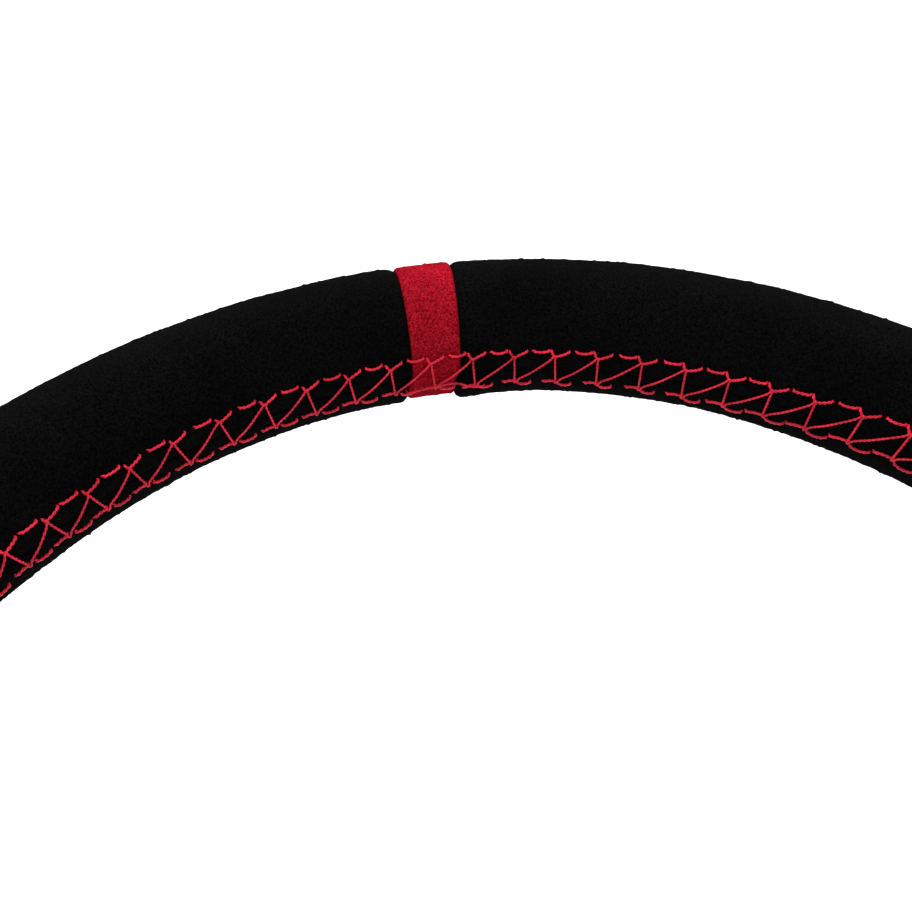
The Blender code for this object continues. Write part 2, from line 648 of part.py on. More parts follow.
def horn_ring(finish, parent):
    """The clamp ring on the spoke plate, with the lip that keeps the horn cap in."""
    edge = 0.0008
    profile = [(BUTTON_BORE, RING_BOTTOM), (FLANGE_RADIUS - edge, RING_BOTTOM)]
    profile += [(FLANGE_RADIUS, RING_BOTTOM + edge), (FLANGE_RADIUS, RING_FLANGE_TOP - edge)]
    profile += [(FLANGE_RADIUS - edge, RING_FLANGE_TOP), (0.0305, RING_FLANGE_TOP)]
    profile += [(0.0300, RING_FLANGE_TOP + 0.0005), (0.0300, LIP_TOP - 0.0018)]
    profile += [(0.0294, LIP_TOP - 0.0006), (0.0282, LIP_TOP), (0.0249, LIP_TOP)]
    profile += [(0.0243, LIP_TOP - 0.0006), (0.0243, LIP_BOTTOM), (BUTTON_BORE, LIP_BOTTOM)]
    obj = place("horn_ring", turned("horn_ring", profile), finish, parent)
    low, high = RING_BOTTOM - 0.001, RING_FLANGE_TOP + 0.001
    cut(obj, *clearance_cutters("ring_hole", low, high, RING_FLANGE_TOP))


def horn_switch(wheel, nylon, brass, spring_steel):
    """The fixed half of the horn switch: its housing, two contacts and the return spring."""
    profile = [(0, HOUSING_BOTTOM), (0.0257, HOUSING_BOTTOM), (0.0257, HOUSING_TOP)]
    profile += [(0.0237, HOUSING_TOP), (0.0237, LEDGE), (0.0210, LEDGE), (0.0210, 0.0495)]
    profile += [(0, 0.0495)]
    housing = place("horn_housing", turned("horn_housing", profile), nylon, wheel)
    for i, x in enumerate((0.0, 0.016)):
        slit = prism(f"blade_slit_{i}", rectangle(0.0016, 0.0056, (x, 0)), 0.047, 0.051)
        cut(housing, helper(f"blade_slit_{i}", slit))
    ring_profile = [(0.0140, 0.0530), (0.0234, 0.0530), (0.0234, 0.0539), (0.0140, 0.0539)]
    ring = place("contact_ring_lower", turned("contact_ring_lower", ring_profile, 32), brass, wheel)
    blade = prism("ring_blade", rectangle(0.0008, 0.0048, (0.016, 0)), 0.0451, 0.0534)
    join(ring, helper("ring_blade", blade))
    disc_profile = [(0, 0.0498), (0.0100, 0.0498), (0.0100, 0.0506), (0, 0.0506)]
    disc = place("contact_centre", turned("contact_centre", disc_profile, 24), brass, wheel)
    tail = prism("centre_blade", rectangle(0.0008, 0.0048), 0.0451, 0.0502)
    join(disc, helper("centre_blade", tail))
    turns = coil(0.0075, 0.0515, 0.0558, 3.2, 14)
    wire("horn_spring", turns, 0.0005, spring_steel, wheel)


def horn_button(gloss, brass):
    """The cap that the driver presses, and the contact disc under it."""
    button = body("horn_button_body")
    disc = [(0, 0.0567), (0.0220, 0.0567), (0.0220, 0.0577), (0, 0.0577)]
    place("contact_disc_upper", turned("contact_disc_upper", disc, 32), brass, button)
    profile = [(0.0200, CAP_BOTTOM), (0.0258, CAP_BOTTOM), (0.0258, CAP_FLANGE_TOP)]
    profile += [(0.0239, CAP_FLANGE_TOP), (0.0239, 0.0648), (0.0228, 0.0662)]
    profile += [(0.0190, 0.0675), (0.0130, 0.0684), (0.0065, CAP_TOP - 0.0001), (0, CAP_TOP)]
    profile += [(0, 0.0655), (0.0130, 0.0650), (0.0200, 0.0630)]
    place("horn_cap", turned("horn_cap", profile), gloss, button)


def main():
    clear_scene()
    black_anodised = material("black_anodised", (0.018, 0.018, 0.02), 0.38, 1.0)
    red_anodised = material("red_anodised", (0.45, 0.012, 0.02), 0.3, 1.0)
    alloy = material("alloy", (0.6, 0.6, 0.62), 0.4, 1.0)
    steel = material("steel", (0.55, 0.55, 0.57), 0.25, 1.0)
    black_steel = material("black_steel", (0.03, 0.03, 0.032), 0.4, 1.0)
    spring_steel = material("spring_steel", (0.42, 0.42, 0.44), 0.3, 1.0)
    brass = material("brass", (0.72, 0.5, 0.18), 0.3, 1.0)
    nylon = material("nylon", (0.55, 0.53, 0.48), 0.55)
    gloss = material("gloss_plastic", (0.012, 0.012, 0.013), 0.2)
    rubber = material("rubber", (0.02, 0.02, 0.02), 0.7)
    insulation = material("wire_insulation", (0.3, 0.01, 0.012), 0.5)
    foam = material("foam", (0.05, 0.05, 0.055), 0.9)
    suede = material("black_suede", (0.006, 0.006, 0.007), 0.95)
    red_suede = material("red_suede", (0.36, 0.012, 0.02), 0.92)
    thread = material("thread", (0.62, 0.012, 0.035), 0.6)

    column = body("column_body")
    base_hub(black_anodised, column)
    screws("base_screw", 0.0065, BASE_THICKNESS - GAP, black_steel, column)
    lock_parts(column, steel, spring_steel, red_anodised)
    base_contacts(column, nylon, brass)

    wheel = body("wheel_body")
    wheel_hub(black_anodised, wheel)
    plug_contacts(wheel, nylon, brass, spring_steel, rubber)
    horn_wiring(wheel, insulation, brass, steel)
    spoke_frame(black_anodised, wheel)
    rim(wheel, alloy, foam, suede, red_suede)
    stitching(wheel, thread)
    horn_ring(black_anodised, wheel)
    screws("wheel_screw", 0.0138, RING_FLANGE_TOP - GAP, black_steel, wheel)
    horn_switch(wheel, nylon, brass, spring_steel)
    horn_button(gloss, brass)


main()
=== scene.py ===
"""The looks of the quick-release steering wheel: suede, laced thread, anodised metal and plastic."""

import json
import math

import bmesh
import bpy
import numpy as np
from mathutils import Matrix, Vector, noise


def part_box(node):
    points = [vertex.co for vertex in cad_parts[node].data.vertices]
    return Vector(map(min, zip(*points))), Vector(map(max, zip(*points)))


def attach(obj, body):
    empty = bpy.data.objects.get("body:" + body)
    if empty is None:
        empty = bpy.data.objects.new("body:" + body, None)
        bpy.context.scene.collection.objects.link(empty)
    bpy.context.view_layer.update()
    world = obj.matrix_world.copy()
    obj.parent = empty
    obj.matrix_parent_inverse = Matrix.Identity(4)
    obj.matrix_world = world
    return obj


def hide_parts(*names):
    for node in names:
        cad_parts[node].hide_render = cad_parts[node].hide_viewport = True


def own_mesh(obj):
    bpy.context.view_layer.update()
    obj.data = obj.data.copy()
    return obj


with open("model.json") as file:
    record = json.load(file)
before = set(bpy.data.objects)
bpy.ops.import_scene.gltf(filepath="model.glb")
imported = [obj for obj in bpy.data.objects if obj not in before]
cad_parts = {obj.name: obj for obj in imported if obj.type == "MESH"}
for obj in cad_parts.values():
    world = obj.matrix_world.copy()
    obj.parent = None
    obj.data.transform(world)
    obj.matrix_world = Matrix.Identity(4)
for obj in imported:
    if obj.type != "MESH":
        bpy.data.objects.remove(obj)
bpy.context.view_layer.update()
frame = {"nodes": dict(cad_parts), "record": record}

TAU = 2 * math.pi

# The rim, read from the frame: a grip of round section bent into a ring.
RIM_LOW, RIM_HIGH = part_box("cover_right")
GRIP = (RIM_HIGH.z - RIM_LOW.z) / 2
RING = RIM_HIGH.x - GRIP
MIDDLE = Vector((0, 0, (RIM_HIGH.z + RIM_LOW.z) / 2))
LEATHER = 0.0011
BAND_HALF = math.radians(2.56)
SPOKES = (math.radians(-90), math.radians(90), math.radians(180))

# The seam, whose angles run round the grip from the driver's side inwards.
SEAM = math.radians(88)
PERIOD = math.radians(4.4)
PHASE = math.radians(1.42)
THREAD = 0.00037  # radius of the running stitches; the lace is a thinner thread
LACE = 0.00028
UNDER = -0.0008  # the depth at which a stitch ends inside the cover
HOLE_DEPTH = 0.00034
HOLE_WIDTH = 0.0009
SEAM_ENDS = {  # clockwise from the top of the rim
    "upper": (math.radians(-83.0), math.radians(83.0)),
    "lower_right": (math.radians(97.5), math.radians(172.5)),
    "lower_left": (math.radians(-172.5), math.radians(-97.5)),
}
LOOKS = {}  # the finish of each material slot


def grip_point(clockwise, angle, radius):
    """A point of the rim: clockwise from its top, then angle and radius within the grip."""
    reach = RING - radius * math.sin(angle)
    height = MIDDLE.z + radius * math.cos(angle)
    return Vector((reach * math.sin(clockwise), reach * math.cos(clockwise), height))


def bulge(clockwise, centre, width):
    """A smooth hump of height 1 along the rim, for what wanders in handwork; degrees."""
    return math.exp(-(((math.degrees(clockwise) - centre) / width) ** 2))


def rising(clockwise, centre, width):
    """A smooth step along the rim from 0 to 1, for what changes from one side to the other; degrees."""
    return (1 + math.tanh((math.degrees(clockwise) - centre) / width)) / 2


def past_seam(angles):
    """1 on the column's side of the seam, where the strips were pulled tight last, and 0 elsewhere."""
    degrees = np.degrees(angles) % 360
    return 1 / (1 + np.exp(-(degrees - 94) / 2.5)) / (1 + np.exp((degrees - 170) / 12))


def swelling(clockwise, angles):
    """How far the covers' folded ends stand out beside the band, on the column's side of the seam."""
    if abs(clockwise) < BAND_HALF + 1e-6:
        return 0.0 * angles
    most = 0.0016 if clockwise > 0 else 0.0004
    return most * bulge(clockwise, 0, 5) * past_seam(angles)


def band_lean(clockwise, angles):
    """How far the cut edges beside the band lean round the rim, in radians, at each grip angle."""
    lean = 0.22 * np.clip(np.cos(angles), 0, 1) - 0.55 * past_seam(angles)
    return np.radians(lean) * bulge(clockwise, 0, 7)


def seam_drift(clockwise):
    """How far the hand-sewn seam wanders towards the driver's side, in radians."""
    return math.radians(-7.0) * bulge(clockwise, 48, 9)


# --- Camera, lights and floor ------------------------------------------------------------------


def camera():
    """A close view of the top of the rim from above the driver's side of the wheel."""
    data = bpy.data.cameras.new("camera")
    data.sensor_width = 36.0
    data.lens = 36.23
    data.shift_y = -0.1408
    data.clip_start = 0.01
    right = Vector((0.98540, -0.17002, -0.00868)).normalized()
    back = Vector((-0.12042, -0.73214, 0.67043)).normalized()
    up = back.cross(right).normalized()
    obj = bpy.data.objects.new("camera", data)
    bpy.context.scene.collection.objects.link(obj)
    turn = Matrix((right, up, back)).transposed().to_4x4()
    obj.matrix_world = Matrix.Translation(MIDDLE + Vector((-0.02095, -0.02546, 0.15866))) @ turn
    bpy.context.scene.camera = obj


def area_light(name, place, aim, size, power):
    """A round soft lamp at a place, turned towards its aim."""
    data = bpy.data.lights.new(name, "AREA")
    data.shape = "DISK"
    data.size = size
    data.energy = power
    obj = bpy.data.objects.new(name, data)
    bpy.context.scene.collection.objects.link(obj)
    obj.location = place
    obj.rotation_euler = (Vector(aim) - Vector(place)).to_track_quat("-Z", "Y").to_euler()


def studio():
    """A pale floor under an even white sky, with three soft lamps."""
    scene = bpy.context.scene
    scene.view_settings.view_transform = "Standard"
    world = bpy.data.worlds.new("studio")
    scene.world = world
    world.use_nodes = True
    sky = world.node_tree.nodes["Background"]
    sky.inputs["Color"].default_value = (1, 1, 1, 1)
    sky.inputs["Strength"].default_value = 1.0
    area_light("key", (-0.4, 0.5, 1.2), (0, 0.05, 0.1), 0.6, 10)
    area_light("fill", (0.8, -0.5, 0.9), (0, 0, 0.1), 0.8, 3)
    area_light("back", (0.1, 1.2, 0.7), (0, 0, 0.1), 0.8, 4)
    steps = 96
    mesh = bpy.data.meshes.new("floor")
    ring = [(4 * math.cos(TAU * i / steps), 4 * math.sin(TAU * i / steps), -0.0002) for i in range(steps)]
    mesh.from_pydata(ring, [], [tuple(range(steps))])
    floor = bpy.data.objects.new("floor", mesh)
    scene.collection.objects.link(floor)
    kit = Nodes("floor")
    kit.shader("Roughness", 0.9)
    mottle = kit.noise(6.0, 3.0)
    kit.link(kit.ramp(mottle, (0.3, (0.965, 0.965, 0.965)), (0.7, (0.985, 0.985, 0.985))), "Base Color")
    mesh.materials.append(kit.material)


# --- Materials ---------------------------------------------------------------------------------


class Nodes:
    """A Principled material and short names for the procedural nodes that feed it."""

    def __init__(self, name):
        self.material = bpy.data.materials.new(name)
        self.material.use_nodes = True
        self.tree = self.material.node_tree
        self.principled = self.tree.nodes["Principled BSDF"]
        self.place = self.tree.nodes.new("ShaderNodeTexCoord").outputs["Object"]

    def shader(self, socket, value):
        self.principled.inputs[socket].default_value = value

    def link(self, output, socket):
        self.tree.links.new(output, self.principled.inputs[socket])

    def noise(self, scale, detail=2.0, roughness=0.5, distortion=0.0):
        node = self.tree.nodes.new("ShaderNodeTexNoise")
        node.inputs["Scale"].default_value = scale
        node.inputs["Detail"].default_value = detail
        node.inputs["Roughness"].default_value = roughness
        node.inputs["Distortion"].default_value = distortion
        self.tree.links.new(self.place, node.inputs["Vector"])
        return node.outputs["Fac"]

    def ramp(self, factor, *stops):
        node = self.tree.nodes.new("ShaderNodeValToRGB")
        band = node.color_ramp
        while len(band.elements) < len(stops):
            band.elements.new(0.5)
        for element, (position, colour) in zip(band.elements, stops):
            element.position = position
            element.color = (*colour, 1.0)
        self.tree.links.new(factor, node.inputs["Fac"])
        return node.outputs["Color"]

    def span(self, factor, low, high, start=0.3, end=0.7):
        """The factor moved from start..end to low..high."""
        node = self.tree.nodes.new("ShaderNodeMapRange")
        for socket, value in (("From Min", start), ("From Max", end), ("To Min", low), ("To Max", high)):
            node.inputs[socket].default_value = value
        self.tree.links.new(factor, node.inputs["Value"])
        return node.outputs["Result"]

    def blend(self, factor, first, second, mode="MIX"):
        node = self.tree.nodes.new("ShaderNodeMix")
        node.data_type = "RGBA"
        node.blend_type = mode
        for value, socket in ((factor, node.inputs[0]), (first, node.inputs[6]), (second, node.inputs[7])):
            if isinstance(value, bpy.types.NodeSocket):
                self.tree.links.new(value, socket)
            else:
                socket.default_value = value
        return node.outputs[2]

    def math(self, operation, first, second):
        node = self.tree.nodes.new("ShaderNodeMath")
        node.operation = operation
        for value, socket in zip((first, second), node.inputs):
            if isinstance(value, bpy.types.NodeSocket):
                self.tree.links.new(value, socket)
            else:
                socket.default_value = value
        return node.outputs[0]

    def edges(self, low, high):
        """0 on flats and 1 on the outer edges of a finely modelled piece."""
        node = self.tree.nodes.new("ShaderNodeNewGeometry")
        return self.span(node.outputs["Pointiness"], 0.0, 1.0, low, high)

    def bump(self, *layers):
        """Chains (height, distance in metres, strength) layers into the shader's normal."""
        normal = None
        for height, distance, strength in layers:
            node = self.tree.nodes.new("ShaderNodeBump")
            node.inputs["Distance"].default_value = distance
            node.inputs["Strength"].default_value = strength
            self.tree.links.new(height, node.inputs["Height"])
            if normal is not None:
                self.tree.links.new(normal, node.inputs["Normal"])
            normal = node.outputs["Normal"]
        self.link(normal, "Normal")


def suede(name, dark, light, sheen, tint):
    """Brushed nap: fibre-sized speckle, hand-sized patches where it lies another way, and sheen."""
    kit = Nodes(name)
    fibres = kit.noise(5200, 3.0, 0.65)
    tufts = kit.noise(1900, 3.0, 0.6, distortion=0.4)
    patches = kit.noise(42, 3.0, 0.55, distortion=1.2)
    speckle = kit.math("MULTIPLY", kit.math("ADD", fibres, tufts), 0.5)
    colour = kit.ramp(speckle, (0.42, dark), (0.58, light))
    shade = kit.ramp(patches, (0.35, (0.68, 0.68, 0.68)), (0.68, (1.0, 1.0, 1.0)))
    kit.link(kit.blend(1.0, colour, shade, "MULTIPLY"), "Base Color")
    kit.link(kit.span(tufts, 0.86, 1.0), "Roughness")
    kit.shader("Specular IOR Level", 0.0)
    kit.shader("Sheen Weight", sheen)
    kit.shader("Sheen Roughness", 0.55)
    kit.shader("Sheen Tint", (*tint, 1.0))
    kit.bump((patches, 0.0015, 0.25), (tufts, 0.0004, 0.55), (fibres, 0.00015, 0.7))
    return kit.material


def thread_finish():
    """Waxed polyester: bright along each ply, deeper and rougher where it is worn."""
    kit = Nodes("thread_finish")
    fuzz = kit.noise(9000, 2.0, 0.6)
    tone = kit.noise(260, 2.0, 0.5)
    colour = kit.ramp(tone, (0.3, (0.50, 0.004, 0.022)), (0.7, (0.86, 0.012, 0.048)))
    shade = kit.ramp(fuzz, (0.3, (0.72, 0.72, 0.72)), (0.65, (1.0, 1.0, 1.0)))
    kit.link(kit.blend(1.0, colour, shade, "MULTIPLY"), "Base Color")
    kit.link(kit.span(fuzz, 0.30, 0.50), "Roughness")
    kit.shader("Specular IOR Level", 0.26)
    kit.bump((fuzz, 0.00008, 0.5))
    return kit.material


def metal(name, dark, light, rough, worn=None):
    """Blasted or ground metal, with handling marks where it is smoother, and worn bright edges."""
    kit = Nodes(name)
    fine = kit.noise(900, 4.0, 0.65)
    smears = kit.noise(38, 4.0, 0.6, distortion=0.6)
    mixed = kit.math("MULTIPLY", kit.math("ADD", fine, smears), 0.5)
    colour = kit.ramp(mixed, (0.38, dark), (0.62, light))
    if worn is not None:
        scuffs = kit.span(kit.noise(160, 4.0, 0.7), 0.0, 0.8, 0.45, 0.7)
        rubbed = kit.math("MULTIPLY", kit.edges(0.53, 0.62), scuffs)
        colour = kit.blend(rubbed, colour, (*worn, 1.0))
    kit.link(colour, "Base Color")
    low, high = rough
    kit.link(kit.span(mixed, low, high, 0.38, 0.62), "Roughness")
    kit.shader("Metallic", 1.0)
    kit.bump((fine, 0.00003, 0.5))
    return kit.material


def plastic(name, dark, light, rough, grain=1400.0, depth=0.00004):
    """Moulded plastic or rubber with a fine spark-eroded grain."""
    kit = Nodes(name)
    fine = kit.noise(grain, 3.0, 0.6)
    smears = kit.noise(30, 3.0, 0.6, distortion=0.8)
    kit.link(kit.ramp(smears, (0.35, dark), (0.65, light)), "Base Color")
    low, high = rough
    mixed = kit.math("MULTIPLY", kit.math("ADD", fine, smears), 0.5)
    kit.link(kit.span(mixed, low, high, 0.38, 0.62), "Roughness")
    kit.bump((fine, depth, 0.5))
    return kit.material


# --- Meshes ------------------------------------------------------------------------------------


def piece(name, points, faces, slot, node):
    """A soft mesh on the wheel that stands for the CAD node named."""
    mesh = bpy.data.meshes.new(name)
    mesh.from_pydata(points, [], faces)
    mesh.validate()
    mesh.update()
    mesh.shade_smooth()
    mesh.materials.append(LOOKS[slot])
    obj = bpy.data.objects.new(name, mesh)
    bpy.context.scene.collection.objects.link(obj)
    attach(obj, "wheel_side")
    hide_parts(node)


def lattice(rows, columns, wrap_rows, wrap_columns):
    """Quads over a grid of points stored row by row."""
    r = np.arange(rows if wrap_rows else rows - 1)
    c = np.arange(columns if wrap_columns else columns - 1)
    rr, cc = np.meshgrid(r, c, indexing="ij")
    r2, c2 = (rr + 1) % rows, (cc + 1) % columns
    quads = np.stack((rr * columns + cc, rr * columns + c2, r2 * columns + c2, r2 * columns + cc), -1)
    return quads.reshape(-1, 4).tolist()


def opening(clockwise, hairline):
    """Half the angle by which the seam's edges stand apart: a hairline that widens at a spoke."""
    wide, reach = math.radians(8.2), math.radians(5.4)
    away = min(abs((clockwise - spoke + math.pi) % TAU - math.pi) for spoke in SPOKES)
    share = max(0.0, 1.0 - (away / (reach * 1.35)) ** 4)
    return hairline + (wide - hairline) * share**0.5


def seam_angles():
    """Shares of the way round the grip, close together beside the seam."""
    near = np.linspace(0, 0.13, 22, endpoint=False)
    far = np.linspace(0.13, 0.87, 56, endpoint=False)
    return np.concatenate((near, far, 1.0 - near[::-1]))


def stitch_holes():
    """(clockwise, grip angle) of each place where a thread goes into the cover."""
    front = ((0.0, 70.0), (0.375, 70.0), (0.425, 69.5), (0.85, 70.5))
    rear = ((0.24, 105.0), (0.60, 102.5), (0.99, 102.5))
    holes = []
    for start, end in SEAM_ENDS.values():
        for _, turn in periods(start, end):
            for share, row in front + rear:
                spot = turn + share * PERIOD
                holes.append((spot, math.radians(row) + seam_drift(spot)))
    return np.array(holes)


def cover(name, start, end, slot, node, holes, fold=0.0028, tuck=0.0016, lip=0.0004, hollow=0.0):
    """A sleeve of suede round the rim, with turned-in ends, a butted seam and puckered holes."""
    step = math.radians(0.24)
    count = max(8, round((end - start) / step))
    turns = np.linspace(start, end, count + 1)
    ends = np.radians(np.array([0.02, 0.07, 0.15, 0.26, 0.4, 0.6, 0.8]))
    turns = np.unique(np.concatenate((turns, start + ends, end - ends)))
    shares = seam_angles()
    rows = []
    for turn in turns:
        gap = opening(turn, math.radians(1000 * lip))
        seam = SEAM + seam_drift(turn)
        angles = seam + gap + (TAU - 2 * gap) * shares
        radius = GRIP - hollow * past_seam(angles) + swelling(turn, angles)
        from_end = min(turn - start, end - turn) * RING
        if from_end < fold:
            radius -= tuck * (1 - math.sqrt(max(0.0, 1 - (1 - from_end / fold) ** 2)))
        arc = np.minimum(angles - seam - gap, seam + TAU - gap - angles) * GRIP
        edge = np.clip(1 - arc / 0.0011, 0, 1)
        radius -= lip * (1 - np.sqrt(np.clip(1 - edge**2, 0, 1)))
        near = holes[np.abs(holes[:, 0] - turn) < math.radians(1.0)]
        for hole_turn, hole_angle in near:
            across = ((angles + math.pi - hole_angle) % TAU - math.pi) * GRIP
            along = (turn - hole_turn) * (RING - GRIP)
            radius -= HOLE_DEPTH * np.exp(-(across**2 + along**2) / HOLE_WIDTH**2)
        for i, angle in enumerate(angles):
            spot = grip_point(turn, angle, GRIP)
            radius[i] += 0.00022 * noise.noise(spot * 70) + 0.00010 * noise.noise(spot * 420)
            radius[i] += 0.0006 * max(0.0, noise.noise(spot * 1300)) ** 2
        leans = turn + band_lean(turn, angles)
        outer = [grip_point(t, a, r) for t, a, r in zip(leans, angles, radius)]
        inner = [grip_point(t, a, GRIP - hollow - LEATHER) for t, a in zip(leans[::-6], angles[::-6])]
        rows.append(outer + inner)
    columns = len(rows[0])
    points = [point for row in rows for point in row]
    faces = lattice(len(rows), columns, False, True)
    faces.append(tuple(range(columns))[::-1])
    faces.append(tuple(range((len(rows) - 1) * columns, len(rows) * columns)))
    piece(name, points, faces, slot, node)


# --- Thread ------------------------------------------------------------------------------------


def periods(start, end):
    """(index, first angle) of each repeat of the stitches that fits between two angles."""
    first = math.ceil((start - PHASE) / PERIOD)
    last = math.floor((end - PHASE) / PERIOD)
    even = [(i, PHASE + i * PERIOD) for i in range(first, last)]
    repeats = []
    for i, turn in even:
        wander = 0.45 * bulge(turn, 25, 8) - 0.85 * bulge(turn, -34, 9)
        repeats.append((i, turn + math.radians(wander)))
    return repeats


def wobble(index, kind):
    """A steady small irregularity of a hand-made stitch, from -1 to 1."""
    return math.sin(index * 12.9898 + kind * 78.233) * 0.6 + math.sin(index * 4.137 + kind * 3.1) * 0.4


def smooth_path(points, spacing):
    """Points at an even spacing along a Catmull-Rom curve through the given ones."""
    points = [np.array(p) for p in points]
    padded = [2 * points[0] - points[1], *points, 2 * points[-1] - points[-2]]
    dense = []
    for a, b, c, d in zip(padded, padded[1:], padded[2:], padded[3:]):
        for t in np.linspace(0, 1, 12, endpoint=False):
            dense.append(0.5 * (2 * b + (c - a) * t + (2 * a - 5 * b + 4 * c - d) * t**2
                                + (3 * b - 3 * c + d - a) * t**3))
    dense = np.array([*dense, points[-1]])
    lengths = np.concatenate(([0], np.cumsum(np.linalg.norm(np.diff(dense, axis=0), axis=1))))
    count = max(4, round(lengths[-1] / spacing))
    at = np.linspace(0, lengths[-1], count + 1)
    return np.stack([np.interp(at, lengths, dense[:, k]) for k in range(3)], -1), at


def twisted(paths, radius, plies=2, sides=6, pitch=0.0021):
    """Points and faces of two-ply thread laid along each path."""
    points, faces = [], []
    for number, path in enumerate(paths):
        line, at = smooth_path(path, 0.00032)
        ahead = np.gradient(line, axis=0)
        ahead /= np.linalg.norm(ahead, axis=1)[:, None]
        outward = line - np.array([RING * line[:, 0] / np.hypot(line[:, 0], line[:, 1]),
                                   RING * line[:, 1] / np.hypot(line[:, 0], line[:, 1]),
                                   np.full(len(line), MIDDLE.z)]).T
        side = np.cross(ahead, outward)
        side /= np.linalg.norm(side, axis=1)[:, None]
        lift = np.cross(side, ahead)
        for ply in range(plies):
            turn = at / pitch * TAU + TAU * ply / plies + number * 1.7
            centre = line + 0.46 * radius * (np.cos(turn)[:, None] * side + np.sin(turn)[:, None] * lift)
            round_ply = np.arange(sides)[None, :, None] * TAU / sides
            spread = np.cos(round_ply) * side[:, None] + np.sin(round_ply) * lift[:, None]
            first = len(points)
            points += (centre[:, None] + 0.54 * radius * spread).reshape(-1, 3).tolist()
            faces += [[first + i for i in quad] for quad in lattice(len(line), sides, False, True)]
            faces.append([first + k for k in range(sides)][::-1])
            faces.append([first + (len(line) - 1) * sides + k for k in range(sides)])
    return points, faces


def laid(*stops):
    """A thread path from (clockwise, grip angle in degrees, height above the cover) stops."""
    points = []
    for turn, degrees, height in stops:
        angle = math.radians(degrees) + seam_drift(turn)
        points.append(grip_point(turn, angle, GRIP + height + swelling(turn, angle)))
    return points


def hooks(i, turn):
    """(clockwise, degrees) of the places where the lace hooks the front and the rear row."""
    front = turn + (0.54 + 0.03 * wobble(i, 1)) * PERIOD
    lean = max(-0.6, min(1.1, 0.3 - 0.017 * math.degrees(turn) + 0.2 * wobble(i, 2)))
    narrow = 4.0 * math.exp(-((math.degrees(turn) + 40) / 13) ** 2)
    rear = (front + math.radians(lean), 100.3 - narrow + 1.0 * wobble(i, 4))
    return (front, 74.8 + 0.7 * wobble(i, 3)), rear


def front_row(i, turn):
    """A free stitch, and one whose middle the lace pulls in."""
    (hook, hook_angle), _ = hooks(i, turn)

    def at(share):
        return turn + share * PERIOD

    sag = 71.0 + 0.6 * wobble(i, 5)
    top = THREAD * 0.9
    start = 72.6 - 2.4 * rising(turn, 0, 15)
    entry = 0.475 - 0.050 * rising(turn, 0, 8)
    dash = laid((at(0.0), 70.1, UNDER), (at(0.02), 70.3, top), (at(0.19), sag, top * 1.2),
                (at(0.355), 70.1, top), (at(0.375), 69.9, UNDER))
    pulled = laid((at(entry), start - 0.5, UNDER), (at(entry + 0.015), start, top), (hook, hook_angle, top),
                  (at(0.68), 73.4, top), (at(0.83), 70.9, top), (at(0.86), 70.4, UNDER))
    return [dash, pulled]


def rear_row(i, turn):
    """The same pair on the far side of the seam."""
    _, (hook, hook_angle) = hooks(i, turn)

    def at(share):
        return hook + share * PERIOD

    top = THREAD * 0.9
    right, far = rising(turn, 0, 8), rising(turn, 24, 6)
    slack = 1.2 + 0.5 * wobble(i, 6) + 1.6 * rising(turn, 0, 15)
    entry = -0.31 - 0.09 * far + 0.02 * wobble(i, 7)
    pulled = laid((at(entry), hook_angle + 2.0, UNDER), (at(entry + 0.02), hook_angle + 1.6, top),
                  (at(entry / 2), hook_angle + 0.6, top), (at(-0.01), hook_angle + 0.2, top),
                  (at(0.025), hook_angle + 0.6, UNDER))
    row = hook_angle + 3.2 + 0.6 * slack
    bow = row + 1.0 + 0.4 * slack
    first = 0.17 - 0.12 * right + 0.01 * far
    length = 0.37 - 0.04 * right + 0.10 * far + 0.02 * wobble(i, 8)
    dash = laid((at(first), row - 0.3, UNDER), (at(first + 0.02), row, top),
                (at(first + length / 2), bow, top * 1.2),
                (at(first + length - 0.02), row + 0.2, top), (at(first + length), row - 0.1, UNDER))
    return [pulled, dash]


def loose_end():
    """The tail of the lace, tucked across the band where the lacing begins and ends."""
    under, over = -0.0006, THREAD * 2.4
    degrees = ((-3.4, 103.5, under), (-3.1, 102.6, THREAD), (-0.6, 99.0, over), (1.9, 97.2, over),
               (3.6, 99.6, over), (4.9, 103.6, THREAD), (5.1, 104.4, under))
    return laid(*((math.radians(turn), angle, height) for turn, angle, height in degrees))


def lacing(repeats):
    """One long lace: down to the rear row, then slantwise up to the next hook of the front row."""
    stops = []
    over = THREAD * 2.4
    for i, turn in repeats:
        (front, front_angle), (rear, rear_angle) = hooks(i, turn)
        stops.append((front - 0.012 * PERIOD, front_angle - 1.3, over))
        stops.append((front + 0.014 * PERIOD, front_angle - 0.4, over))
        for share in (0.12, 0.5, 0.88):
            stops.append((front + (rear - front) * share, front_angle + (rear_angle - front_angle) * share,
                          THREAD * 1.3 + 0.0003 * math.sin(math.pi * share)))
        stops.append((rear - 0.006 * PERIOD, rear_angle + 1.0, over))
        stops.append((rear + 0.03 * PERIOD, rear_angle + 0.6, over))
        (ahead, ahead_angle), _ = hooks(i + 1, turn + PERIOD)
        if turn + 2 * PERIOD > repeats[-1][1] + 1.5 * PERIOD:
            break
        for share in (0.12, 0.37, 0.63, 0.88):
            stops.append((rear + (ahead - rear) * share, rear_angle + (ahead_angle - rear_angle) * share,
                          THREAD * 1.4 + 0.0004 * math.sin(math.pi * share)))
    return laid(*stops)


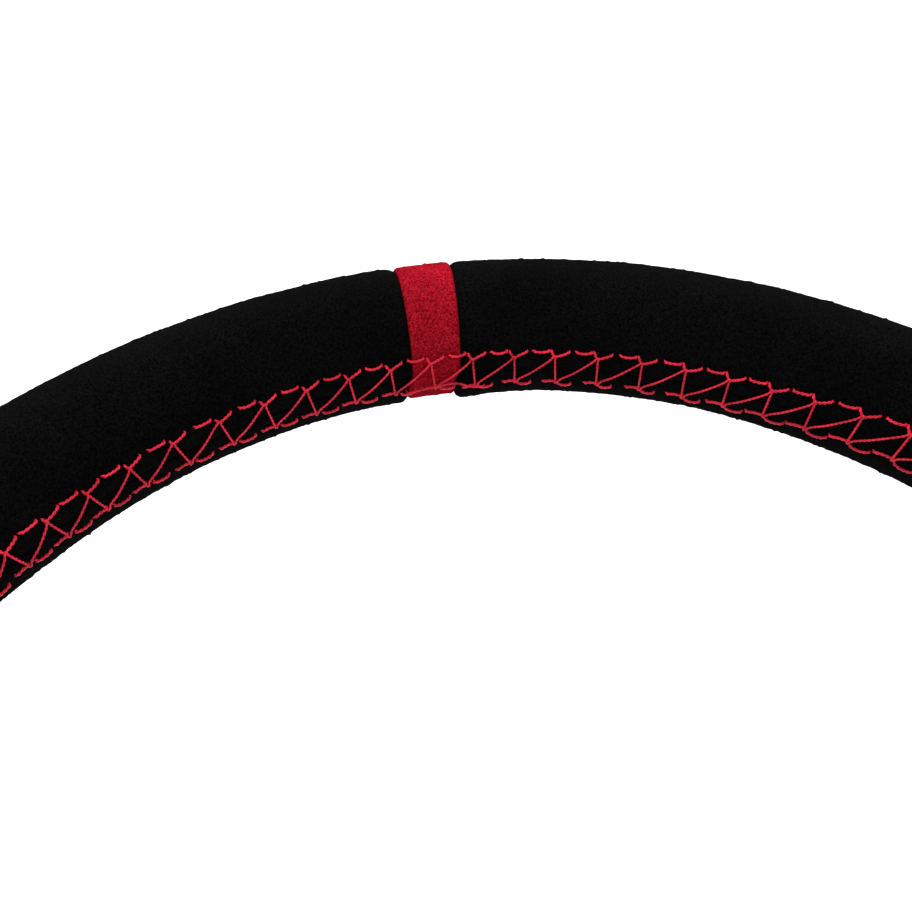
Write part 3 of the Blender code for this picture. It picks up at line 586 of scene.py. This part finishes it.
def sew():
    """The stitches and the lace of each run of the seam."""
    for part, (start, end) in SEAM_ENDS.items():
        repeats = periods(start, end)
        rows = {"front_stitches": [], "rear_stitches": [], "lacing": [lacing(repeats)]}
        for i, turn in repeats:
            rows["front_stitches"] += front_row(i, turn)
            rows["rear_stitches"] += rear_row(i, turn)
        if part == "upper":
            rows["lacing"].append(loose_end())
        for row, paths in rows.items():
            points, faces = twisted(paths, LACE if row == "lacing" else THREAD)
            name = f"{row}_{part}"
            piece(f"sewn_{name}", points, faces, "thread", name)


# --- The hub and the spokes --------------------------------------------------------------------

FINE = 144  # facets round a turned piece
GAP = 0.0003  # air between neighbouring pieces
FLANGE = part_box("base_hub")[1].x
BASE_TOP = 0.007
BALL_HEIGHT = 0.021
SPLINE_BOTTOM = 0.030
SOCKET_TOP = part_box("base_hub")[1].z
HUB_BOTTOM = SOCKET_TOP + GAP
HUB_TOP = HUB_BOTTOM + 0.008
POCKET_FLOOR = HUB_BOTTOM + 0.003
PLATE_BOTTOM = HUB_TOP + GAP
PLATE_TOP = PLATE_BOTTOM + 0.004
RING_BOTTOM = PLATE_TOP + GAP
RING_TOP = RING_BOTTOM + 0.0035
LIP_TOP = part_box("horn_ring")[1].z
SOCKET, NOSE_BORE = 0.022, 0.0153
PLUG_BORE, BUTTON_BORE = 0.010, 0.0263
SPLINE_ROOT, SPLINE_TIP, TEETH = 0.0170, 0.0190, 8
BALL, BALL_FREE, BALL_LOCKED = 0.004, 0.0196, 0.0180
SNAP_LOW, SNAP_HIGH = 0.0351, 0.0363
COLLAR_STEP = 0.0285
LIP_LOW = 0.061
CAP_LOW, CAP_EDGE, CAP_RADIUS = 0.058, 0.0650, 0.0239
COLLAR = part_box("lock_collar")[1].x
COLLAR_LOW, COLLAR_HIGH = (corner.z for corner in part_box("lock_collar"))
BOLT_CIRCLE, BOLTS = 0.035, 6
BOLT, BOLT_HOLE, HEAD, HEAD_DEPTH = 0.0024, 0.0027, 0.0046, 0.0026
KNURL_LOW, KNURL_HIGH, KNURL_DEPTH, KNURLS = 0.0226, 0.0319, 0.00045, 76


def rounded(outline, ease, steps=3):
    """A closed (radius, height) outline with its corners eased, apart from those on the axis."""
    points = []
    for before, corner, after in zip(outline[-1:] + outline[:-1], outline, outline[1:] + outline[:1]):
        corner = Vector(corner)
        if corner.x == 0:
            points.append(corner)
            continue
        back, ahead = Vector(before) - corner, Vector(after) - corner
        reach = min(ease, 0.42 * back.length, 0.42 * ahead.length)
        first, last = corner + back.normalized() * reach, corner + ahead.normalized() * reach
        for i in range(steps + 1):
            t = i / steps
            points.append(first.lerp(corner, t).lerp(corner.lerp(last, t), t))
    return points


def closed(points, faces):
    """A mesh without doubled points or stray edges, with its faces turned outwards."""
    bm = bmesh.new()
    verts = [bm.verts.new(point) for point in points]
    for face in faces:
        bm.faces.new([verts[i] for i in face])
    bmesh.ops.remove_doubles(bm, verts=bm.verts, dist=1e-7)
    bmesh.ops.delete(bm, geom=[edge for edge in bm.edges if not edge.link_faces], context="EDGES")
    bmesh.ops.recalc_face_normals(bm, faces=bm.faces)
    mesh = bpy.data.meshes.new("shape")
    bm.to_mesh(mesh)
    bm.free()
    return mesh


def lathed(outline, steps=FINE, ease=0.0003, relief=None):
    """A closed outline turned about Z; relief(angle, radius, height) gives another radius."""
    profile = rounded(outline, ease)
    relief = relief or (lambda angle, radius, height: radius)
    points = []
    for i in range(steps):
        angle = TAU * i / steps
        for radius, height in profile:
            reach = relief(angle, radius, height)
            points.append((reach * math.cos(angle), reach * math.sin(angle), height))
    return closed(points, lattice(steps, len(profile), True, True))


def prism(outline, bottom, top):
    """A flat outline of (x, y) points pushed up from bottom to top."""
    count = len(outline)
    points = [(x, y, z) for z in (bottom, top) for x, y in outline]
    faces = lattice(2, count, False, True) + [list(range(count))[::-1], list(range(count, 2 * count))]
    return closed(points, faces)


def circle(radius, steps, centre=(0, 0)):
    angles = [TAU * i / steps for i in range(steps)]
    return [(centre[0] + radius * math.cos(a), centre[1] + radius * math.sin(a)) for a in angles]


def repeated(mesh, matrices):
    """One mesh holding a copy of the given one at each matrix."""
    bm = bmesh.new()
    for matrix in matrices:
        first = len(bm.verts)
        bm.from_mesh(mesh)
        bm.verts.ensure_lookup_table()
        bmesh.ops.transform(bm, matrix=matrix, verts=bm.verts[first:])
    out = bpy.data.meshes.new("copies")
    bm.to_mesh(out)
    bm.free()
    return out


def applied(mesh, prepare):
    """The mesh after the modifiers that prepare(object) puts on it, and after its helpers are gone."""
    holder = bpy.data.objects.new("holder", mesh)
    bpy.context.scene.collection.objects.link(holder)
    helpers = prepare(holder)
    bpy.context.view_layer.update()
    result = bpy.data.meshes.new_from_object(holder.evaluated_get(bpy.context.evaluated_depsgraph_get()))
    for obj in (holder, *helpers):
        bpy.data.objects.remove(obj)
    return result


def combined(mesh, operation, *others):
    """The mesh joined with the others or cut by them."""
    def prepare(holder):
        helpers = []
        for other in others:
            helper = bpy.data.objects.new("helper", other)
            bpy.context.scene.collection.objects.link(helper)
            modifier = holder.modifiers.new("shape", "BOOLEAN")
            modifier.operation = operation
            modifier.object = helper
            helpers.append(helper)
        return helpers

    return applied(mesh, prepare)


def machined(name, mesh, slot, body, node, place=(0, 0, 0), turn=0.0):
    """A piece of the hub: smooth on its curves, crisp at its corners, flat on its flats."""
    def prepare(holder):
        holder.data.shade_smooth()
        holder.data.set_sharp_from_angle(angle=math.radians(36))
        normals = holder.modifiers.new("normals", "WEIGHTED_NORMAL")
        normals.keep_sharp = True
        return []

    mesh = applied(mesh, prepare)
    mesh.materials.clear()
    mesh.materials.append(LOOKS[slot])
    obj = bpy.data.objects.new(name, mesh)
    bpy.context.scene.collection.objects.link(obj)
    obj.location = place
    obj.rotation_euler = (0, 0, turn)
    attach(obj, body)
    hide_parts(node)
    return obj


def bolt_places():
    angles = [math.radians(30) + TAU * i / BOLTS for i in range(BOLTS)]
    return [(angle, BOLT_CIRCLE * math.cos(angle), BOLT_CIRCLE * math.sin(angle)) for angle in angles]


def bolt_cutters(bottom, top, sink=None):
    """The six bolt holes, countersunk from above where sink is given."""
    profile = [(0, bottom), (BOLT_HOLE, bottom), (BOLT_HOLE, top), (0, top)]
    if sink is not None:
        head = HEAD + 2 * GAP
        profile[2:] = [(BOLT_HOLE, sink - HEAD_DEPTH - GAP), (head, sink), (head, top), (0, top)]
    one = lathed(profile, 40, 0.00001)
    spots = [Matrix.Translation((x, y, 0)) @ Matrix.Rotation(a + 0.04, 4, "Z") for a, x, y in bolt_places()]
    return repeated(one, spots)


def spline_outline(root, tip, side):
    """A toothed outline. The first tooth is wider, so the hub goes together one way only."""
    points = []
    for i in range(TEETH):
        centre = TAU * i / TEETH + TAU / 4
        width = (0.0075 if i == 0 else 0.0050) + 2 * side
        at_root, at_tip = math.asin(width / 2 / root), math.asin(width / 2 / tip)
        corners = [(root, -at_root)]
        corners += [(tip, at_tip * share) for share in (-1, -0.5, 0, 0.5, 1)]
        corners += [(root, at_root)]
        after = TAU / TEETH - at_root * 0.8
        corners += [(root, at_root + (after - at_root) * share) for share in (0.25, 0.5, 0.75)]
        points += [(r * math.cos(centre + a), r * math.sin(centre + a)) for r, a in corners]
    return points


def wire(points, radius, sides=12, spacing=0.0003):
    """A round wire along a smooth curve through the points."""
    line, _ = smooth_path(points, spacing)
    ahead = np.gradient(line, axis=0)
    ahead /= np.linalg.norm(ahead, axis=1)[:, None]
    side = np.cross(ahead[0], (0.31, 0.22, 0.92))
    verts = []
    for centre, direction in zip(line, ahead):
        side = side - direction * np.dot(side, direction)
        side /= np.linalg.norm(side)
        lift = np.cross(direction, side)
        for k in range(sides):
            angle = TAU * k / sides
            verts.append(tuple(centre + radius * (math.cos(angle) * side + math.sin(angle) * lift)))
    faces = lattice(len(line), sides, False, True)
    faces += [list(range(sides))[::-1], list(range((len(line) - 1) * sides, len(line) * sides))]
    return closed(verts, faces)


def coil(radius, bottom, top, turns):
    """Points along a helix whose end turns lie flat, as on a spring with closed ends."""
    points = []
    count = round(turns * 24)
    for i in range(count + 1):
        share = i / count
        rise = min(max((share * turns - 0.6) / (turns - 1.2), 0.0), 1.0)
        angle = TAU * turns * share
        height = bottom + (top - bottom) * (0.12 * share + 0.88 * rise)
        points.append((radius * math.cos(angle), radius * math.sin(angle), height))
    return points


def column_side():
    """The flange with its ball socket, its screw holes and its contacts."""
    edge = 0.0008
    profile = [(0.011, 0), (FLANGE - edge, 0), (FLANGE, edge)]
    profile += [(FLANGE, BASE_TOP - edge), (FLANGE - edge, BASE_TOP)]
    profile += [(0.0310, BASE_TOP), (0.0305, BASE_TOP - 0.0005), (SOCKET + 0.0008, BASE_TOP - 0.0005)]
    profile += [(SOCKET, BASE_TOP + 0.0006), (SOCKET, 0.035), (SOCKET - 0.001, 0.035)]
    profile += [(SOCKET - 0.001, 0.0364), (SOCKET, 0.0364), (SOCKET, SOCKET_TOP - edge)]
    profile += [(SOCKET - edge, SOCKET_TOP), (0.0178, SOCKET_TOP)]
    profile += [(0.0173, SOCKET_TOP - 0.0005), (0.0173, SPLINE_BOTTOM), (NOSE_BORE, SPLINE_BOTTOM)]
    profile += [(NOSE_BORE, 0.010), (0.011, 0.010)]
    slots = prism(spline_outline(SPLINE_ROOT, SPLINE_TIP + GAP, GAP), SPLINE_BOTTOM, 0.045)
    drill = [(0, 0.0133), (0.0039, 0.0133), (0.0043, 0.0165), (0.0043, 0.023), (0, 0.023)]
    cone = lathed(drill, 48, 0.00001)
    spin = [Matrix.Translation((0, 0, BALL_HEIGHT)) @ Matrix.Rotation(math.radians(30 + 60 * i), 4, "Z")
            @ Matrix.Rotation(math.pi / 2, 4, "Y") for i in range(BOLTS)]
    mesh = combined(lathed(profile), "DIFFERENCE", slots, repeated(cone, spin),
                    bolt_cutters(-0.001, 0.008, BASE_TOP))
    machined("quick_release_base", mesh, "black_anodised", "column_side", "base_hub")
    washer = [(SOCKET + GAP, 0.0333), (0.027, 0.0333), (0.027, 0.0348), (SOCKET + GAP, 0.0348)]
    insulator = [(0.0023, 0.003), (0.0107, 0.003), (0.0107, 0.0103), (0.0135, 0.0103)]
    insulator += [(0.0135, 0.0113), (0.0023, 0.0113)]
    contact = [(0, 0.001), (0.002, 0.001), (0.002, 0.0116), (0.006, 0.0116), (0.006, 0.01225)]
    contact += [(0, 0.01225)]
    pieces = (("spring_washer", "steel", washer), ("contact_insulator", "nylon", insulator),
              ("contact_plate", "brass", contact))
    for node, slot, outline in pieces:
        machined(f"turned_{node}", lathed(outline, FINE, 0.0002), slot, "column_side", node)
    inside, outside = SOCKET - 0.0006, 0.0246
    snap = lathed([(inside, SNAP_LOW), (outside, SNAP_LOW), (outside, SNAP_HIGH), (inside, SNAP_HIGH)])
    mouth = prism([(-0.003, -0.0285), (0.003, -0.0285), (0.003, -0.0185), (-0.003, -0.0185)], 0.034, 0.037)
    machined("split_snap_ring", combined(snap, "DIFFERENCE", mouth), "spring_steel",
             "column_side", "snap_ring")
    spring = wire(coil(0.0249, 0.0293, 0.0325, 2.6), 0.00045)
    machined("collar_return_spring", spring, "spring_steel", "column_side", "collar_spring")


def knurled(angle, radius, height):
    """The collar's grip band: small diamond points rolled into its outer face."""
    if radius < COLLAR - 0.0001 or not KNURL_LOW < height < KNURL_HIGH:
        return radius
    pitch = TAU * COLLAR / KNURLS
    across, along = angle / TAU * KNURLS, (height - KNURL_LOW) / pitch
    first, second = (1 - abs(2 * (turn % 1) - 1) for turn in (across + along, across - along))
    return radius - KNURL_DEPTH * (1 - min(1.0, 1.7 * min(first, second)))


def lock():
    """The collar with its ramp and knurled band, and the balls that it holds in or lets out."""
    edge, groove, land, relief, bore = 0.0007, 0.0012, SOCKET + GAP, 0.0242, 0.0273
    ramp_top = BALL_HEIGHT + 0.0056
    outline = [(land, COLLAR_LOW), (land, BALL_HEIGHT - 0.0032), (relief, BALL_HEIGHT - 0.0030)]
    outline += [(relief, ramp_top - (relief - land) / 0.266667), (land, ramp_top)]
    outline += [(land, COLLAR_STEP), (bore, COLLAR_STEP)]
    outline += [(bore, COLLAR_HIGH), (COLLAR - edge, COLLAR_HIGH), (COLLAR, COLLAR_HIGH - edge)]
    outline += [(COLLAR, 0.0365), (COLLAR - groove, 0.0353), (COLLAR - groove, 0.0337), (COLLAR, 0.0325)]
    rows = 34
    for i in range(rows + 1):
        outline.append((COLLAR, KNURL_HIGH + (KNURL_LOW - KNURL_HIGH) * i / rows))
    outline += [(COLLAR, 0.0220), (COLLAR - groove, 0.0208), (COLLAR - groove, 0.0192), (COLLAR, 0.0180)]
    outline += [(COLLAR, COLLAR_LOW + edge), (COLLAR - edge, COLLAR_LOW)]
    mesh = lathed(outline, KNURLS * 6, 0.00012, knurled)
    machined("knurled_lock_collar", mesh, "red_anodised", "lock_collar", "lock_collar")
    bm = bmesh.new()
    bmesh.ops.create_icosphere(bm, subdivisions=4, radius=BALL)
    ball = bpy.data.meshes.new("ball")
    bm.to_mesh(ball)
    bm.free()
    for i in range(BOLTS):
        angle = math.radians(30 + 60 * i)
        spot = (BALL_FREE * math.cos(angle), BALL_FREE * math.sin(angle), BALL_HEIGHT)
        machined(f"steel_ball_{i + 1}", ball.copy(), "steel", f"lock_ball_{i + 1}",
                 f"lock_ball_{i + 1}", spot)


def screws():
    """Countersunk screws with hexagon sockets, in both bolt circles."""
    key = prism(circle(0.0017, 6), -0.0018, 0.001)
    for node, body, length, top in (("base_screw", "column_side", 0.0065, BASE_TOP - GAP),
                                    ("wheel_screw", "wheel_side", 0.0138, RING_TOP - GAP)):
        profile = [(0, 0), (HEAD, 0), (HEAD, -0.0003), (BOLT, -HEAD_DEPTH), (BOLT, -length), (0, -length)]
        mesh = combined(lathed(profile, 64, 0.00012), "DIFFERENCE", key)
        for i, (angle, x, y) in enumerate(bolt_places()):
            machined(f"hex_{node}_{i + 1}", mesh.copy(), "black_steel", body, f"{node}_{i + 1}",
                     (x, y, top), angle + 0.7 * i)


def plug():
    """The wheel's flange and splined nose, and the horn contact inside it."""
    edge, nose, groove = 0.0008, NOSE_BORE - GAP, 0.0043
    mouth = math.sqrt(groove**2 - (BALL_LOCKED - nose) ** 2)
    profile = [(PLUG_BORE, 0.013), (nose - edge, 0.013), (nose, 0.0138), (nose, 0.0148), (0.0126, 0.0148)]
    profile += [(0.0126, 0.0173), (nose, 0.0173), (nose, BALL_HEIGHT - mouth)]
    sweep = math.asin(mouth / groove)
    for i in range(1, 12):
        angle = sweep * (i / 6 - 1)
        profile.append((BALL_LOCKED - groove * math.cos(angle), BALL_HEIGHT + groove * math.sin(angle)))
    profile += [(nose, BALL_HEIGHT + mouth), (nose, SPLINE_BOTTOM + GAP)]
    profile += [(SPLINE_ROOT - 0.001, SPLINE_BOTTOM + GAP)]
    profile += [(SPLINE_ROOT - 0.001, HUB_BOTTOM), (FLANGE - edge, HUB_BOTTOM), (FLANGE, HUB_BOTTOM + edge)]
    profile += [(FLANGE, HUB_BOTTOM + 0.0030), (FLANGE - 0.0007, HUB_BOTTOM + 0.0035)]
    profile += [(FLANGE - 0.0007, HUB_BOTTOM + 0.0045), (FLANGE, HUB_BOTTOM + 0.0050)]
    profile += [(FLANGE, HUB_TOP - edge), (FLANGE - edge, HUB_TOP), (0.0262, HUB_TOP)]
    profile += [(0.0262, POCKET_FLOOR), (PLUG_BORE, POCKET_FLOOR)]
    toothed = spline_outline(SPLINE_ROOT - GAP, SPLINE_TIP, 0.0)
    teeth = prism(toothed, SPLINE_BOTTOM + 0.0004, HUB_BOTTOM + 0.001)
    mesh = combined(lathed(profile, FINE, 0.0002), "UNION", teeth)
    bore = prism(circle(PLUG_BORE, FINE), 0.02, 0.05)
    mesh = combined(mesh, "DIFFERENCE", bore, bolt_cutters(0.0403, 0.0503))
    machined("splined_wheel_hub", mesh, "black_anodised", "wheel_side", "wheel_hub")
    outlines = {
        "plug_insulator": ("nylon", [(0.0023, 0.014), (0.0097, 0.014), (0.0097, 0.028), (0.0036, 0.028),
                                     (0.0036, 0.019), (0.0023, 0.019)]),
        "pin_terminal": ("brass", [(0, 0.026), (0.0033, 0.026), (0.0033, 0.0279), (0, 0.0279)]),
        "o_ring": ("rubber", circle(0.0011, 20, (0.01395, 0.01605))),
        "contact_pin": ("brass", [(0, 0.0126), (0.0012, 0.0126), (0.0020, 0.0134), (0.0020, 0.0193),
                                  (0.0033, 0.0193), (0.0033, 0.0205), (0, 0.0205)]),
    }
    for node, (slot, outline) in outlines.items():
        body = "contact_pin" if node == "contact_pin" else "wheel_side"
        machined(f"turned_{node}", lathed(outline, 96, 0.0002), slot, body, node)
    turns = wire(coil(0.0026, 0.0212, 0.0253, 4.2), 0.00028)
    spring = machined("pin_return_spring", turns, "spring_steel", "wheel_side", "pin_spring")
    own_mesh(spring)


def horn_leads():
    """The leads from the horn switch to the contact pin and to earth, with their terminals."""
    live = [(0, 0, 0.0447), (0.0022, 0.0008, 0.0410), (0.0020, 0.0016, 0.0370), (-0.0012, 0.0014, 0.0330),
            (-0.0008, 0.0004, 0.0300), (0, 0, 0.0283)]
    earth = [(0.0177, 0.0005, 0.0463), (0.0175, 0.0060, 0.0460), (0.0150, 0.0120, 0.0458),
             (0.0100, 0.0170, 0.0457), (0.0045, 0.0187, 0.0457)]
    for name, route, radius in (("live", live, 0.001), ("earth", earth, 0.0008)):
        machined(f"insulated_lead_{name}", wire(route, radius), "wire_insulation",
                 "wheel_side", f"horn_lead_{name}")
    eyelet = [(0.0017, POCKET_FLOOR + GAP), (0.0034, POCKET_FLOOR + GAP), (0.0034, POCKET_FLOOR + 0.0009),
              (0.0017, POCKET_FLOOR + 0.0009)]
    screw = [(0, 0.0424), (0.0014, 0.0424), (0.0014, POCKET_FLOOR + 0.0012), (0.0027, POCKET_FLOOR + 0.0012),
             (0.0027, POCKET_FLOOR + 0.0026), (0.0021, POCKET_FLOOR + 0.0031), (0, POCKET_FLOOR + 0.0031)]
    for node, outline, slot in (("earth_eyelet", eyelet, "brass"), ("earth_screw", screw, "steel")):
        machined(f"turned_{node}", lathed(outline, 48, 0.00012), slot, "wheel_side", node, (0, 0.019, 0))


def spoke_line():
    """(radius, height) points along the middle of a spoke, with its two bends as arcs."""
    flat = (PLATE_BOTTOM + PLATE_TOP) / 2
    high = MIDDLE.z
    corners = [Vector(p) for p in ((0.036, flat), (0.053, flat), (0.122, high), (RING - 0.0062, high))]
    points = [corners[0]]
    for before, corner, after, radius in zip(corners, corners[1:], corners[2:], (0.012, 0.010)):
        back, ahead = (before - corner).normalized(), (after - corner).normalized()
        half = back.angle(ahead) / 2
        centre = corner + (back + ahead).normalized() * radius / math.sin(half)
        first, last = (corner + way * radius / math.tan(half) - centre for way in (back, ahead))
        points += [centre + first.lerp(last, i / 14).normalized() * radius for i in range(15)]
    return [*points, corners[-1]]


def spoke():
    """One spoke of plate with eased edges, narrowing outwards and flared where it leaves the hub."""
    line = spoke_line()
    rows, half, ease = [], 0.00194, 0.0007
    for i, point in enumerate(line):
        before, after = line[max(i - 1, 0)], line[min(i + 1, len(line) - 1)]
        ahead = (after - before).normalized()
        lift = Vector((-ahead.y, ahead.x))
        share = (point - line[0]).length / (line[-1] - line[0]).length
        width = 0.0152 + (0.0110 - 0.0152) * share
        outline = rounded([(-width, -half), (width, -half), (width, half), (-width, half)], ease)
        rows.append([(point.x + lift.x * t, y, point.y + lift.y * t) for y, t in outline])
    columns = len(rows[0])
    faces = lattice(len(rows), columns, False, True)
    faces += [list(range(columns))[::-1], list(range((len(rows) - 1) * columns, len(rows) * columns))]
    return closed([point for row in rows for point in row], faces)


def spoke_slots():
    """The three round-ended lightening slots of one spoke, cut square to its slope."""
    line = spoke_line()
    start, end = line[15], line[16]
    ahead = (end - start).normalized()
    frame_of_slope = Matrix(((ahead.x, 0, -ahead.y), (0, 1, 0), (ahead.y, 0, ahead.x))).to_4x4()
    cutters = []
    for along, length, half in ((0.0200, 0.026, 0.0070), (0.0500, 0.022, 0.0058), (0.0760, 0.018, 0.0046)):
        outline = []
        for side, first in ((1, -90), (-1, 90)):
            for i in range(17):
                angle = math.radians(first + 180 * i / 16)
                outline.append((side * (length / 2 - half) + half * math.cos(angle), half * math.sin(angle)))
        spot = start + ahead * along
        cutters.append(repeated(prism(outline, -0.006, 0.006),
                                [Matrix.Translation((spot.x, 0, spot.y)) @ frame_of_slope]))
    return cutters


def spokes():
    """The dished spoke plate."""
    turns = [Matrix.Rotation(angle, 4, "Z") for angle in (0, math.pi, -math.pi / 2)]
    plate = [(BUTTON_BORE, PLATE_BOTTOM), (FLANGE, PLATE_BOTTOM)]
    plate += [(FLANGE, PLATE_TOP), (BUTTON_BORE, PLATE_TOP)]
    mesh = combined(lathed(plate, FINE, 0.0005), "UNION", repeated(spoke(), turns))
    slots = [repeated(slot, turns) for slot in spoke_slots()]
    mesh = combined(mesh, "DIFFERENCE", *slots, bolt_cutters(PLATE_BOTTOM - 0.001, PLATE_TOP + 0.001))
    machined("dished_spoke_plate", mesh, "black_anodised", "wheel_side", "spoke_frame")


def horn():
    """The clamp ring, the horn switch in it and the domed cap that the driver presses."""
    edge = 0.0008
    profile = [(BUTTON_BORE, RING_BOTTOM), (FLANGE - edge, RING_BOTTOM), (FLANGE, RING_BOTTOM + edge)]
    profile += [(FLANGE, RING_TOP - edge), (FLANGE - edge, RING_TOP)]
    profile += [(0.0309, RING_TOP), (0.0300, RING_TOP + 0.0009)]
    profile += [(0.0300, LIP_TOP - 0.0022), (0.0280, LIP_TOP), (0.0251, LIP_TOP), (0.0243, LIP_TOP - 0.0008)]
    profile += [(0.0243, LIP_LOW), (BUTTON_BORE, LIP_LOW)]
    mesh = combined(lathed(profile, FINE, 0.0004), "DIFFERENCE", bolt_cutters(0.0529, 0.0584, RING_TOP))
    machined("horn_clamp_ring", mesh, "black_anodised", "wheel_side", "horn_ring")
    cap = [(0.0200, CAP_LOW), (0.0258, CAP_LOW), (0.0258, 0.0607), (CAP_RADIUS, 0.0607)]
    cap.append((CAP_RADIUS, CAP_EDGE))
    for i in range(1, 25):
        radius = CAP_RADIUS * (1 - i / 24)
        dome = 0.0040 * math.sqrt(1 - (radius / CAP_RADIUS) ** 2.6)
        groove = 0.00035 * math.exp(-(((radius - 0.0172) / 0.0005) ** 2))
        cap.append((radius, CAP_EDGE + dome - groove))
    cap += [(0, 0.0655), (0.0130, 0.0650), (0.0200, 0.0630)]
    machined("domed_horn_cap", lathed(cap, FINE, 0.00025), "gloss_plastic", "horn_button",
             "horn_cap")
    disc = [(0, 0.0567), (0.022, 0.0567), (0.022, 0.0577), (0, 0.0577)]
    machined("switch_disc", lathed(disc, FINE, 0.0002), "brass", "horn_button", "contact_disc_upper")
    turns = wire(coil(0.0075, 0.0515, 0.0558, 3.2), 0.0005)
    spring = machined("horn_return_spring", turns, "spring_steel", "wheel_side", "horn_spring")
    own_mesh(spring)


def grip_inside():
    """The foam moulded on the rim's tube, which shows where the suede parts for a spoke."""
    foam = lathed(circle(0.0152, 48, (RING, MIDDLE.z)), 240, 0.00001)
    grip = machined("moulded_grip_foam", foam, "foam", "wheel_side", "grip_foam")
    tube = lathed(circle(0.005, 24, (RING, MIDDLE.z)), 180, 0.00001)
    machined("rim_tube", tube, "alloy", "wheel_side", "rim_core")


# --- The whole object --------------------------------------------------------------------------


METALS = {  # dark, light, the range of roughness, and the colour of worn edges where they show
    "black_anodised": ((0.012, 0.012, 0.014), (0.026, 0.026, 0.029), (0.34, 0.52), (0.09, 0.09, 0.095)),
    "red_anodised": ((0.20, 0.003, 0.008), (0.32, 0.008, 0.014), (0.24, 0.38), (0.62, 0.30, 0.30)),
    "alloy": ((0.52, 0.52, 0.54), (0.66, 0.66, 0.68), (0.3, 0.5)),
    "steel": ((0.50, 0.50, 0.51), (0.62, 0.62, 0.63), (0.12, 0.26)),
    "black_steel": ((0.014, 0.014, 0.016), (0.034, 0.034, 0.036), (0.3, 0.48)),
    "spring_steel": ((0.36, 0.36, 0.38), (0.48, 0.48, 0.5), (0.22, 0.36)),
    "brass": ((0.60, 0.40, 0.13), (0.76, 0.54, 0.22), (0.2, 0.4)),
}
PLASTICS = {  # dark, light, the range of roughness, and the grain's scale and depth where it is coarse
    "nylon": ((0.50, 0.48, 0.43), (0.58, 0.56, 0.51), (0.45, 0.62)),
    "gloss_plastic": ((0.006, 0.006, 0.0065), (0.011, 0.011, 0.012), (0.22, 0.38)),
    "rubber": ((0.014, 0.014, 0.014), (0.024, 0.024, 0.024), (0.6, 0.8)),
    "wire_insulation": ((0.26, 0.008, 0.01), (0.34, 0.014, 0.016), (0.38, 0.55)),
    "foam": ((0.012, 0.012, 0.013), (0.022, 0.022, 0.024), (0.8, 0.95), 700, 0.0002),
}
SUEDES = {  # dark, light, the weight and the tint of the sheen
    "black_suede": ((0.0004, 0.0004, 0.0004), (0.0046, 0.0046, 0.0048), 0.009, (0.8, 0.8, 0.85)),
    "red_suede": ((0.10, 0.0, 0.003), (0.50, 0.012, 0.026), 0.0, (1.0, 0.35, 0.4)),
}


def prepare_finishes():
    """Fills LOOKS with a procedural finish for each of the record's material slots."""
    for make, table in ((metal, METALS), (plastic, PLASTICS), (suede, SUEDES)):
        for slot, values in table.items():
            LOOKS[slot] = make(f"{slot}_finish", *values)
    LOOKS["thread"] = thread_finish()


def main():
    camera()
    studio()
    prepare_finishes()
    slots = {part["node"]: part["material_slot"] for part in frame["record"]["subparts"]}
    for name, node in frame["nodes"].items():
        node.data.materials.clear()
        node.data.materials.append(LOOKS[slots[name]])
    holes = stitch_holes()
    edge, end = BAND_HALF + math.radians(0.02), math.radians(179.985)
    cover("suede_right", edge, end, "black_suede", "cover_right", holes)
    cover("suede_left", -end, -edge, "black_suede", "cover_left", holes)
    cover("suede_band", -BAND_HALF, BAND_HALF, "red_suede", "centre_band", holes, fold=0.0013, tuck=0.0010,
          lip=0.0001, hollow=0.0004)
    sew()
    column_side()
    lock()
    screws()
    plug()
    horn_leads()
    spokes()
    horn()
    grip_inside()


main()
